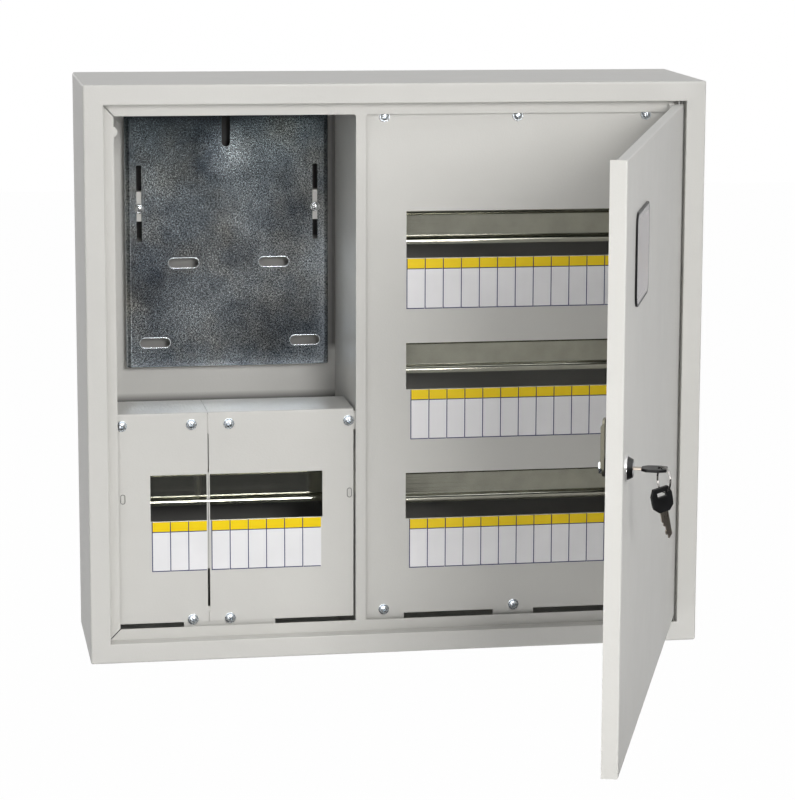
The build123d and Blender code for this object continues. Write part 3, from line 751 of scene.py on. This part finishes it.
def bridge(
    work: bmesh.types.BMesh, low: Sequence[bmesh.types.BMVert], high: Sequence[bmesh.types.BMVert]
) -> None:
    """Join two rings of vertices by faces.

    Args:
        work: Mesh under construction.
        low: First ring, or one vertex as a tip.
        high: Second ring, or one vertex as a tip.
    """
    count = max(len(low), len(high))
    for step in range(count):
        after = (step + 1) % count
        if len(low) == 1:
            work.faces.new((low[0], high[after], high[step]))
        elif len(high) == 1:
            work.faces.new((low[step], low[after], high[0]))
        else:
            work.faces.new((low[step], low[after], high[after], high[step]))


def lathe(profile: Sequence[Pair], steps: int) -> Mesh:
    """Turn a profile about Z into a closed mesh.

    Args:
        profile: Pairs of radius and height from bottom to top, with both ends on the axis.
        steps: Segments round the axis.

    Returns:
        The turned mesh.
    """
    work = bmesh.new()
    rings: list[list[bmesh.types.BMVert]] = []
    for radius, height in profile:
        places = [(radius * math.cos(a), radius * math.sin(a), height) for a in around(steps)]
        if radius == 0.0:
            places = [(0.0, 0.0, height)]
        rings.append([work.verts.new(place) for place in places])
    for low, high in zip(rings, rings[1:]):
        bridge(work, low, high)
    bmesh.ops.recalc_face_normals(work, faces=work.faces)
    return plain_mesh(work, "turned")


def prism(outline: Sequence[Pair], low: float, high: float, shrink: float) -> Mesh:
    """Raise an outline along Z into a closed prism.

    Args:
        outline: Points in X and Y, in order.
        low: Height of the first end, where the outline shrinks.
        high: Height of the second end.
        shrink: Share of the outline left at the first end.

    Returns:
        The prism.
    """
    work = bmesh.new()
    foot = [work.verts.new((x * shrink, y * shrink, low)) for x, y in outline]
    head = [work.verts.new((x, y, high)) for x, y in outline]
    work.faces.new(list(reversed(foot)))
    work.faces.new(head)
    bridge(work, foot, head)
    bmesh.ops.recalc_face_normals(work, faces=work.faces)
    return plain_mesh(work, "prism")


def tube(
    path: Sequence[Vector], radius: float, sides: int, upright: Vector, closed: bool = False
) -> Mesh:
    """Sweep a round wire along a path.

    Args:
        path: Points of the path.
        radius: Radius of the wire.
        sides: Facets round the wire.
        upright: A direction that the path never follows.
        closed: Whether the path ends where it starts; an open wire gets end faces.

    Returns:
        The wire's mesh.
    """
    work = bmesh.new()
    rings: list[list[bmesh.types.BMVert]] = []
    last = len(path) - 1
    for index, point in enumerate(path):
        before = path[index - 1] if closed else path[max(index - 1, 0)]
        after = path[(index + 1) % len(path)] if closed else path[min(index + 1, last)]
        along = (after - before).normalized()
        side = along.cross(upright).normalized()
        other = along.cross(side)
        spokes = [math.cos(a) * side + math.sin(a) * other for a in around(sides)]
        rings.append([work.verts.new(point + radius * spoke) for spoke in spokes])
    pairs = list(zip(rings, rings[1:]))
    if closed:
        pairs.append((rings[-1], rings[0]))
    else:
        work.faces.new(list(reversed(rings[0])))
        work.faces.new(rings[-1])
    for low, high in pairs:
        bridge(work, low, high)
    bmesh.ops.recalc_face_normals(work, faces=work.faces)
    for face in work.faces:
        face.smooth = True
    return plain_mesh(work, "wire")


def obround(length: float, width: float, steps: int) -> list[Vector]:
    """Give the outline of a round-ended slot that lies along X in the XZ plane.

    Args:
        length: Whole length.
        width: Whole width.
        steps: Points of each round end.

    Returns:
        The points in order.
    """
    points = []
    for end in (1, -1):
        for step in range(steps + 1):
            turn = math.pi * (step / steps - 0.5)
            x = end * ((length - width) / 2 + width / 2 * math.cos(turn))
            points.append(Vector((x, 0.0, end * width / 2 * math.sin(turn))))
    return points


# Geometry Nodes


class Tree(NodeGraph):
    """A geometry-node tree under construction, with named inputs."""

    def __init__(self, name: str) -> None:
        """Make the tree with its geometry input and output.

        Args:
            name: Name of the tree.
        """
        super().__init__(bpy.data.node_groups.new(name, "GeometryNodeTree"))
        for way in ("INPUT", "OUTPUT"):
            self.tree.interface.new_socket("Geometry", in_out=way, socket_type="NodeSocketGeometry")
        self.entry = self.add("NodeGroupInput")
        self.exit = self.add("NodeGroupOutput")
        self.names: dict[str, str] = {}

    def add_input(self, name: str, kind: str) -> None:
        """Add a named input of one of Blender's socket types."""
        socket = self.tree.interface.new_socket(name, in_out="INPUT", socket_type=kind)
        self.names[name] = socket.identifier

    def value(self, name: str) -> Socket:
        """Give the output socket of a named input."""
        return self.entry.outputs[name]

    def close(self, geometry: Socket) -> None:
        """End the tree with realised instances and its material.

        Args:
            geometry: Geometry to give out.
        """
        realize = self.add("GeometryNodeRealizeInstances", {"Geometry": geometry})
        inputs = {"Geometry": realize.outputs["Geometry"], "Material": self.value("Material")}
        paint = self.add("GeometryNodeSetMaterial", inputs)
        self.feed(self.exit, {"Geometry": paint.outputs["Geometry"]})

    def run(self, mesh: Mesh, values: dict[str, object]) -> Mesh:
        """Run the tree on a mesh.

        Args:
            mesh: Mesh the tree starts from.
            values: Value of each named input.

        Returns:
            The plain mesh that comes out.
        """
        helper = linked(f"{self.tree.name}_helper", mesh)
        modifier = helper.modifiers.new("nodes", "NODES")
        modifier.node_group = self.tree
        for name, value in values.items():
            modifier[self.names[name]] = value
        return baked(helper)


class FieldTree(Tree):
    """Sets one model on every point, turned about Y by the point's own angle."""

    def __init__(self) -> None:
        """Build the tree."""
        super().__init__("model_field")
        self.add_input("Model", "NodeSocketObject")
        self.add_input("Size", "NodeSocketFloat")
        self.add_input("Material", "NodeSocketMaterial")
        info = self.add("GeometryNodeObjectInfo", {"Object": self.value("Model")})
        angle = self.add("GeometryNodeInputNamedAttribute", {"Name": "turn"}, data_type="FLOAT")
        join = self.add("ShaderNodeCombineXYZ", {"Y": angle.outputs["Attribute"]})
        copies = {
            "Points": self.value("Geometry"),
            "Instance": info.outputs["Geometry"],
            "Rotation": join.outputs["Vector"],
            "Scale": self.value("Size"),
        }
        self.close(self.add("GeometryNodeInstanceOnPoints", copies).outputs["Instances"])

    def place(
        self,
        model: bpy.types.Object,
        seats: Sequence[Corner],
        turns: Sequence[float],
        material: Material,
    ) -> Mesh:
        """Set a model on its seats.

        Args:
            model: Model to repeat.
            seats: Place of each copy.
            turns: Turn of each copy about Y.
            material: Finish of the copies.

        Returns:
            All copies as one mesh.
        """
        points = bpy.data.meshes.new("seats")
        points.from_pydata([Vector(seat) for seat in seats], [], [])
        turn = points.attributes.new("turn", "FLOAT", "POINT")
        for index, angle in enumerate(turns):
            turn.data[index].value = angle
        return self.run(points, {"Model": model, "Size": 1.0, "Material": material})


class BarTree(Tree):
    """Repeats one thin bar along X, with its own size and pitch."""

    def __init__(self) -> None:
        """Build the tree."""
        super().__init__("printed_bars")
        for name in ("Width", "Depth", "Height", "Pitch"):
            self.add_input(name, "NodeSocketFloat")
        self.add_input("Count", "NodeSocketInt")
        self.add_input("Start", "NodeSocketVector")
        self.add_input("Material", "NodeSocketMaterial")
        sides = (("X", "Width"), ("Y", "Depth"), ("Z", "Height"))
        size = self.add("ShaderNodeCombineXYZ", {axis: self.value(name) for axis, name in sides})
        bar = self.add("GeometryNodeMeshCube", {"Size": size.outputs["Vector"]})
        step = self.add("ShaderNodeCombineXYZ", {"X": self.value("Pitch")})
        line = {
            "Count": self.value("Count"),
            "Start Location": self.value("Start"),
            "Offset": step.outputs["Vector"],
        }
        row = self.add("GeometryNodeMeshLine", line, mode="OFFSET")
        copies = {"Points": row.outputs["Mesh"], "Instance": bar.outputs["Mesh"]}
        self.close(self.add("GeometryNodeInstanceOnPoints", copies).outputs["Instances"])


# Sub-assemblies


@dataclass
class CrossHeadScrew:
    """Pan-head screw with a flange and a cross recess, its seat at 0 and its head towards -Y.

    The head's profile is given in shares of the head's radius and height.
    """

    head_radius: float = 5.2 * MM
    head_height: float = 3.4 * MM
    shank_radius: float = 2.0 * MM
    point_share: float = 0.8
    point_height: float = 0.6 * MM
    length: float = 9.0 * MM
    flange_share: float = 0.97
    flange_edge: float = 0.1 * MM
    head: tuple[Pair, ...] = (
        (1.0, 0.16), (0.94, 0.25), (0.8, 0.25), (0.73, 0.12), (0.74, 0.42),
        (0.7, 0.64), (0.58, 0.85), (0.42, 0.96), (0.2, 1.0), (0.0, 1.0),
    )
    recess_reach: float = 2.8 * MM
    recess_width: float = 1.35 * MM
    recess_depth: float = 2.2 * MM
    recess_foot: float = 0.45
    recess_overrun: float = 0.5 * MM
    sharp_angle: float = math.radians(38.0)
    steps: int = 28

    def build(self) -> Mesh:
        """Turn the head and cut the recess.

        Returns:
            The screw.
        """
        r, h = self.head_radius, self.head_height
        profile = [
            (0.0, -self.length),
            (self.shank_radius * self.point_share, -self.length),
            (self.shank_radius, -self.length + self.point_height),
            (self.shank_radius, 0.0),
            (r * self.flange_share, 0.0),
            (r, self.flange_edge),
            *((r * across, h * up) for across, up in self.head),
        ]
        body = lathe(profile, self.steps)
        for face in body.polygons:
            face.use_smooth = True
        helper = linked("screw_body", body)
        a, w = self.recess_reach, self.recess_width / 2
        cross = [
            (a, -w), (a, w), (w, w), (w, a), (-w, a), (-w, w),
            (-a, w), (-a, -w), (-w, -w), (-w, -a), (w, -a), (w, -w),
        ]
        recess = prism(cross, h - self.recess_depth, h + self.recess_overrun, self.recess_foot)
        tool = linked("screw_recess", recess)
        cut = helper.modifiers.new("recess", "BOOLEAN")
        cut.operation = "DIFFERENCE"
        cut.solver = "EXACT"
        cut.object = tool
        mesh = baked(helper)
        bpy.data.objects.remove(tool, do_unlink=True)
        mesh.set_sharp_from_angle(angle=self.sharp_angle)
        mesh.transform(Matrix.Rotation(math.radians(90.0), 4, "X"))
        return mesh


class Fasteners:
    """All cross-head screws of the enclosure."""

    cover_seat: float = -0.139
    plate_seat: float = -0.016
    rail_seat: float = -0.0885
    grid: float = 0.02
    first_turn: float = 0.35
    turn_step: float = 1.17
    turn_count: int = 11
    place_stride: int = 7
    group_stride: int = 3

    def centres(self, node: str, seat: float) -> list[Corner]:
        """Find where a node's screws sit.

        Args:
            node: Name of the node.
            seat: Y of the seat.

        Returns:
            One seat for each screw.
        """
        seen: dict[tuple[int, int], list[Vector]] = {}
        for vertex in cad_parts[node].data.vertices:
            key = (round(vertex.co.x / self.grid), round(vertex.co.z / self.grid))
            near = (k for k in seen if abs(k[0] - key[0]) <= 1 and abs(k[1] - key[1]) <= 1)
            seen.setdefault(next(near, key), []).append(vertex.co)
        seats: list[Corner] = []
        for group in seen.values():
            low_x, high_x = min(v.x for v in group), max(v.x for v in group)
            low_z, high_z = min(v.z for v in group), max(v.z for v in group)
            seats.append(((low_x + high_x) / 2, seat, (low_z + high_z) / 2))
        return sorted(seats)

    def turn(self, place: int, group: int) -> float:
        """Give the turn of a screw from its place in its group."""
        mixed = (place * self.place_stride + group * self.group_stride) % self.turn_count
        return self.first_turn + self.turn_step * mixed

    def build(self, finishes: Finishes) -> None:
        """Replace every group of plain screws.

        Args:
            finishes: Materials of the enclosure.
        """
        tree = FieldTree()
        large = linked("cover_screw_model", CrossHeadScrew().build())
        small_sizes = CrossHeadScrew(
            head_radius=4.7 * MM,
            head_height=2.9 * MM,
            length=7.0 * MM,
            recess_reach=2.3 * MM,
            recess_width=1.2 * MM,
            recess_depth=1.6 * MM,
        )
        small = linked("small_screw_model", small_sizes.build())
        groups = (
            ("screws_right", large, self.cover_seat, finishes.zinc),
            ("screws_left", large, self.cover_seat, finishes.zinc),
            ("plate_screws", small, self.plate_seat, finishes.bright),
            ("rail_screws", small, self.rail_seat, finishes.zinc),
        )
        for index, (node, model, seat, finish) in enumerate(groups):
            seats = self.centres(node, seat)
            turns = [self.turn(place, index) for place in range(len(seats))]
            mesh = tree.place(model, seats, turns, finish)
            add_piece(mesh, f"{node}_cross_head", Body.BOX, [node])
        for model in (large, small):
            bpy.data.objects.remove(model, do_unlink=True)


@dataclass
class LabelStrip:
    """Printed label: yellow band over white cells with thin ruled lines."""

    node: str
    cells: int
    film_tone: LabelTone
    band: float = 9.9 * MM
    trim: float = 0.4 * MM
    line: float = 0.85 * MM
    ink_sheet: float = 0.04 * MM

    def build(self, tree: BarTree, finishes: Finishes) -> None:
        """Print the strip.

        Args:
            tree: Tree that repeats the ruled lines.
            finishes: Materials of the enclosure.
        """
        low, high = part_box(self.node)
        width, height = high[0] - low[0], high[2] - low[2]
        line, cells, yellow, ink = self.line, self.cells, finishes.yellow[self.film_tone], finishes.ink
        pitch = width / cells
        front = low[1] - self.ink_sheet / 2
        over = front - self.ink_sheet
        band_start = ((low[0] + high[0]) / 2, front, high[2] - self.band / 2)
        rule_start = (low[0] + line / 2, over, (low[2] + high[2]) / 2)
        foot_start = (low[0] + pitch / 2, over, low[2] + line / 2)
        waist_start = (low[0] + pitch / 2, over, high[2] - self.band)
        for part, material, wide, tall, step, count, start in (
            ("band", yellow, width - self.trim, self.band - self.trim, 0.0, 1, band_start),
            ("rules", ink, line, height, (width - line) / cells, cells, rule_start),
            ("foot", ink, pitch - line, line, pitch, cells, foot_start),
            ("waist", ink, pitch - line, line, pitch, cells, waist_start),
        ):
            values = {
                "Width": wide,
                "Depth": self.ink_sheet,
                "Height": tall,
                "Pitch": step,
                "Count": count,
                "Start": start,
                "Material": material,
            }
            row = tree.run(bpy.data.meshes.new("empty"), values)
            add_piece(row, f"{self.node}_{part}", Body.BOX)


class Labels:
    """All label strips under the module windows."""

    strips: tuple[LabelStrip, ...] = (
        LabelStrip("label_top", 13, LabelTone.ROW),
        LabelStrip("label_middle", 13, LabelTone.ROW),
        LabelStrip("label_bottom", 13, LabelTone.ROW),
        LabelStrip("label_left", 3, LabelTone.SHORT),
        LabelStrip("label_left_wide", 6, LabelTone.SHORT),
    )

    def build(self, finishes: Finishes) -> None:
        """Print every strip.

        Args:
            finishes: Materials of the enclosure.
        """
        tree = BarTree()
        for strip in self.strips:
            dress([strip.node], finishes.film[strip.film_tone])
            strip.build(tree, finishes)


class Cabinet:
    """Box, covers, plate and rails that stay with the wall."""

    coated: tuple[str, ...] = (
        "box_shell", "partition", "plate_brackets", "cover_right",
        "tabs_right", "tab_left", "cross_bar",
    )
    shelved: tuple[str, ...] = ("cover_left", "cover_middle")
    rails: tuple[str, ...] = (
        "rail_top", "rail_middle", "rail_bottom", "rail_left", "uprights_right", "uprights_left",
    )
    plate_easing: float = 0.35 * MM

    def build(self, finishes: Finishes) -> None:
        """Dress the fixed nodes.

        Args:
            finishes: Materials of the enclosure.
        """
        dress(self.coated, finishes.powder)
        dress(self.shelved, finishes.cover)
        # the back wall takes the coat with painted light and painted shade
        dress(["back_panel"], finishes.recess)
        dress(self.rails, finishes.rail)
        plate = softened("meter_plate", self.plate_easing, finishes.plate)
        add_piece(plate, "meter_plate_eased", Body.BOX, ["meter_plate"])
        dress(["earth_stud", "earth_nut"], finishes.zinc)
        dress(["hinge_bush"], finishes.black)


@dataclass
class PunchedEdges:
    """Bright burr round the meter plate's slots, and painted shade round the covers' closed slots.

    The closed slots get thin dark rings that stand for the shade of their grooves.
    """

    burr: float = 0.42 * MM
    # radius of the dark rings that paint the grooves' shade
    groove_shade: float = 0.34 * MM
    wire_sides: int = 6
    end_steps: int = 10
    plate_front: float = -16.0 * MM
    slot_size: Pair = (30.0 * MM, 10.0 * MM)
    slot_rows: tuple[Corner, ...] = (
        (-190.8 * MM, -102.2 * MM, 88.5 * MM),
        (-219.4 * MM, -71.8 * MM, 10.0 * MM),
    )
    cover_front: float = -139.0 * MM
    blank_size: Pair = (9.0 * MM, 4.2 * MM)
    blank_places: tuple[Pair, ...] = ((-261.6 * MM, -119.6 * MM), (-45.1 * MM, -119.6 * MM))

    def build(self, finishes: Finishes) -> None:
        """Trace the burr round every slot and the painted shade round every closed slot.
        """
        tree = FieldTree()
        rows = self.slot_rows
        slots = [(x, self.plate_front, z) for left, right, z in rows for x in (left, right)]
        blanks = [(x, self.cover_front, z) for x, z in self.blank_places]
        # shade is the dark coat of the painted shade rings
        zinc, shade = finishes.zinc, finishes.shade
        for name, size, wire, seats, turn, finish, slot in (
            ("plate_slot_burr", self.slot_size, self.burr, slots, 0.0, zinc, Slot.GALVANISED),
            (
                "cover_blank_outline", self.blank_size, self.groove_shade,
                blanks, math.pi / 2, shade, Slot.POWDER,
            ),
        ):
            path = obround(*size, self.end_steps)
            outline = tube(path, wire, self.wire_sides, Vector((0.0, 1.0, 0.0)), True)
            model = linked(f"{name}_model", outline)
            mesh = tree.place(model, seats, [turn] * len(seats), finish)
            bpy.data.objects.remove(model, do_unlink=True)
            add_piece(mesh, name, Body.BOX)


class Door:
    """Door with its window, hinge and lock housing."""

    def build(self, finishes: Finishes) -> None:
        """Dress the door's nodes.

        Args:
            finishes: Materials of the enclosure.
        """
        dress(["door_panel", "hinge_brackets"], finishes.powder)
        dress(["door_pane"], finishes.clear)
        dress(["pane_edging", "lock_housing"], finishes.black)
        dress(["hinge_pins"], finishes.pin)
        dress(["lock_nut"], finishes.zinc)
        dress(["lock_bezel"], finishes.chrome)


@dataclass
class KeySet:
    """Plug, cam, keys and split ring."""

    cam_easing: float = 0.35 * MM
    bow_easing: float = 0.7 * MM
    bow_segments: int = 3
    blade_easing: float = 0.18 * MM
    slim: float = 0.82
    ring_radius: float = 10.3 * MM
    wire_radius: float = 0.42 * MM
    wire_sides: int = 8
    coil_gap: float = 0.84 * MM
    turns: float = 1.92
    first_turn: float = 1.1
    crossing_start: float = 0.47
    crossing_share: float = 0.06
    ring_steps: int = 150
    ring_heading: float = math.radians(16.0)

    def build(self, finishes: Finishes) -> None:
        """Dress the lock and replace the keys and ring by finer ones.

        Args:
            finishes: Materials of the enclosure.
        """
        dress(["lock_plug"], finishes.chrome)
        dress(["cam_screw"], finishes.zinc)
        cam = softened("lock_cam", self.cam_easing, finishes.cam)
        add_piece(cam, "lock_cam_rounded", Body.LOCK, ["lock_cam"])
        for node, body, slim in (
            ("key_bow", Body.LOCK, self.slim),
            ("spare_bow", Body.SPARE, 1.0),
        ):
            mesh = softened(node, self.bow_easing, finishes.black, self.bow_segments)
            low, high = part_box(node)
            middle = Matrix.Translation((Vector(low) + Vector(high)) / 2)
            flat = Matrix.Scale(slim, 4, Vector((0.0, 0.0, 1.0)))
            mesh.transform(middle @ flat @ middle.inverted())
            add_piece(mesh, f"{node}_moulded", body, [node])
        for node, body in (("key_blade", Body.LOCK), ("spare_blade", Body.SPARE)):
            mesh = softened(node, self.blade_easing, finishes.key)
            add_piece(mesh, f"{node}_cut", body, [node])
        self.split_ring(finishes.ring)

    def split_ring(self, material: Material) -> None:
        """Wind the split ring in place of the plain one.

        Args:
            material: Finish of the wire.
        """
        low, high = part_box("key_ring")
        middle = (Vector(low) + Vector(high)) / 2
        axis = Vector((math.cos(self.ring_heading), math.sin(self.ring_heading), 0.0))
        side = Vector((-axis.y, axis.x, 0.0))
        up = Vector((0.0, 0.0, 1.0))
        path = []
        for step in range(self.ring_steps + 1):
            share = step / self.ring_steps
            turn = FULL_TURN * self.turns * share + self.first_turn
            slide = min(1.0, max(0.0, (share - self.crossing_start) / self.crossing_share))
            offset = self.coil_gap * (slide - 0.5)
            spoke = math.cos(turn) * side + math.sin(turn) * up
            path.append(middle + axis * offset + self.ring_radius * spoke)
        mesh = tube(path, self.wire_radius, self.wire_sides, axis)
        mesh.materials.append(material)
        add_piece(mesh, "key_ring_split", Body.RING, ["key_ring"])


# Studio


@dataclass
class PhotoCamera:
    """Camera solved from the photograph's corners."""

    place: Corner = (-0.4597, -2.99143, 0.49138)
    focal_px: float = 3064.54
    centre_px: Pair = (494.5, 400.0)
    yaw: float = math.radians(11.025)
    pitch: float = math.radians(10.230)
    roll: float = math.radians(0.487)
    image: tuple[int, int] = (795, 800)
    sensor: float = 36.0
    reach: float = 60.0

    def build(self) -> None:
        """Make the camera and choose it for the scene."""
        data = bpy.data.cameras.new("photo_camera")
        camera = linked("photo_camera", data)
        ahead = math.cos(self.pitch)
        east, north = math.sin(self.yaw) * ahead, math.cos(self.yaw) * ahead
        forward = Vector((east, north, -math.sin(self.pitch)))
        level = Vector((math.cos(self.yaw), -math.sin(self.yaw), 0.0))
        up = level.cross(forward)
        right = math.cos(self.roll) * level + math.sin(self.roll) * up
        top = -math.sin(self.roll) * level + math.cos(self.roll) * up
        turn = Matrix((right, top, -forward)).transposed().to_4x4()
        camera.matrix_world = Matrix.Translation(Vector(self.place)) @ turn
        width, height = self.image
        longer = max(width, height)
        data.sensor_fit = "AUTO"
        data.sensor_width = self.sensor
        data.lens = self.focal_px * self.sensor / longer
        data.shift_x = -(self.centre_px[0] - width / 2) / longer
        data.shift_y = (self.centre_px[1] - height / 2) / longer
        data.clip_end = self.reach
        data.dof.use_dof = False
        bpy.context.scene.camera = camera


@dataclass
class SoftBox:
    """Large area lamp aimed at the enclosure."""

    name: str
    place: Corner
    aim: Corner
    size: Pair
    power: float
    colour: Rgb = (1.0, 0.99, 0.97)

    def build(self) -> None:
        """Hang the lamp."""
        data = bpy.data.lights.new(self.name, "AREA")
        data.shape = "RECTANGLE"
        data.size, data.size_y = self.size
        data.energy = self.power
        data.color = self.colour
        lamp = linked(self.name, data)
        heading = Vector(self.aim) - Vector(self.place)
        lamp.rotation_euler = heading.to_track_quat("-Z", "Y").to_euler()
        lamp.location = self.place


class Studio:
    """Floor, background, lamps and camera; mirror rays see darker surroundings in front."""

    floor_height: float = -0.62
    floor_size: float = 14.0
    floor_colour: Rgb = (0.86, 0.86, 0.86)
    floor_roughness: float = 0.9
    floor_seen: float = 0.985
    floor_mirror: float = 0.97
    floor_turn: Pair = (0.0, 0.8)
    ambient: Rgb = (0.327, 0.327, 0.332)
    front_mirror: Rgb = (0.022, 0.023, 0.025)
    back_mirror: Rgb = (0.545, 0.545, 0.545)
    upper_mirror: Rgb = (1.0, 1.0, 1.0)
    front_upper_mirror: float = 2.6
    back_turn: Pair = (-0.3, 0.4)
    upper_turn: Pair = (0.12, 0.42)
    lamps: tuple[SoftBox, ...] = (
        SoftBox("key_lamp", (0.38, -2.7, 0.8), (0.0, -0.2, 0.0), (0.75, 0.75), 33.6),
        SoftBox("top_lamp", (1.0, -1.2, 2.0), (0.0, -0.2, 0.0), (0.75, 0.75), 4.6),
        SoftBox("back_lamp", (-1.6, 2.4, 0.9), (0.0, -0.1, 0.0), (0.9, 0.9), 16.0),
        SoftBox("low_lamp", (-0.8, -2.0, -0.45), (0.0, -0.2, 0.0), (0.75, 0.75), 6.2),
    )

    def sky(self, graph: ShaderGraph, colour: Rgb, strength: float = 1.0) -> Socket:
        """Add a plain background shader."""
        inputs = {"Color": (*colour, 1.0), "Strength": strength}
        return graph.add("ShaderNodeBackground", inputs).outputs["Background"]

    def background(self) -> None:
        """Set a white background that lights the object only softly."""
        world = bpy.data.worlds.new("studio_world")
        bpy.context.scene.world = world
        world.use_nodes = True
        world.node_tree.nodes.clear()
        graph = ShaderGraph(world.node_tree)
        rays = graph.add("ShaderNodeLightPath").outputs
        seen = graph.calculated("MAXIMUM", rays["Is Camera Ray"], rays["Is Transmission Ray"])
        axes = graph.split(graph.add("ShaderNodeTexCoord").outputs["Generated"])
        behind = graph.span(axes["Y"], 0.0, 1.0, *self.back_turn)
        above = graph.span(axes["Z"], 0.0, 1.0, *self.upper_turn)
        bright = self.sky(graph, WHITE, self.front_upper_mirror)
        upper = graph.mixed(behind, bright, self.sky(graph, self.upper_mirror))
        front, back = self.sky(graph, self.front_mirror), self.sky(graph, self.back_mirror)
        mirror = graph.mixed(above, graph.mixed(behind, front, back), upper)
        soft = graph.mixed(rays["Is Glossy Ray"], self.sky(graph, self.ambient), mirror)
        shown = graph.mixed(seen, soft, self.sky(graph, WHITE))
        graph.add("ShaderNodeOutputWorld", {"Surface": shown})

    def floor(self) -> None:
        """Lay a plain pale floor that keeps a soft shadow."""
        half, height = self.floor_size / 2, self.floor_height
        mesh = bpy.data.meshes.new("studio_floor")
        corners = ((-half, -half), (half, -half), (half, half), (-half, half))
        mesh.from_pydata([Vector((x, y, height)) for x, y in corners], [], [(0, 1, 2, 3)])
        floor = linked("studio_floor", mesh)
        graph = MaterialGraph("studio_floor_white")
        pale: Inputs = {"Base Color": (*self.floor_colour, 1.0), "Roughness": self.floor_roughness}
        graph.feed(graph.shader, pale)
        rays = graph.add("ShaderNodeLightPath").outputs
        behind = graph.span(graph.split(graph.place)["Y"], 0.0, 1.0, *self.floor_turn)
        mirror = graph.ramp(behind, self.front_mirror, self.back_mirror)
        surface = graph.shader.outputs["BSDF"]
        for ray, glow, weight in (
            ("Is Camera Ray", {}, self.floor_seen),
            ("Is Transmission Ray", {}, self.floor_seen),
            ("Is Glossy Ray", {"Color": mirror}, self.floor_mirror),
        ):
            light = graph.add("ShaderNodeEmission", glow).outputs["Emission"]
            share = graph.calculated("MULTIPLY", rays[ray], weight)
            surface = graph.mixed(share, surface, light)
        graph.feed(graph.tree.nodes["Material Output"], {"Surface": surface})
        mesh.materials.append(graph.material)

    def build(self) -> None:
        """Set up the whole studio."""
        self.background()
        self.floor()
        for lamp in self.lamps:
            lamp.build()
        PhotoCamera().build()
        bpy.context.scene.view_settings.view_transform = "Standard"


def main() -> None:
    """Build and dress the enclosure, then its studio."""
    logging.basicConfig(level=logging.INFO, format="%(name)s: %(message)s")
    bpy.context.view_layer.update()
    finishes = Finishes()
    steps: tuple[Callable[[Finishes], None], ...] = (
        Cabinet().build,
        PunchedEdges().build,
        Door().build,
        Fasteners().build,
        Labels().build,
        KeySet().build,
    )
    for step in steps:
        step(finishes)
    Studio().build()


if __name__ == "__main__":
    main()
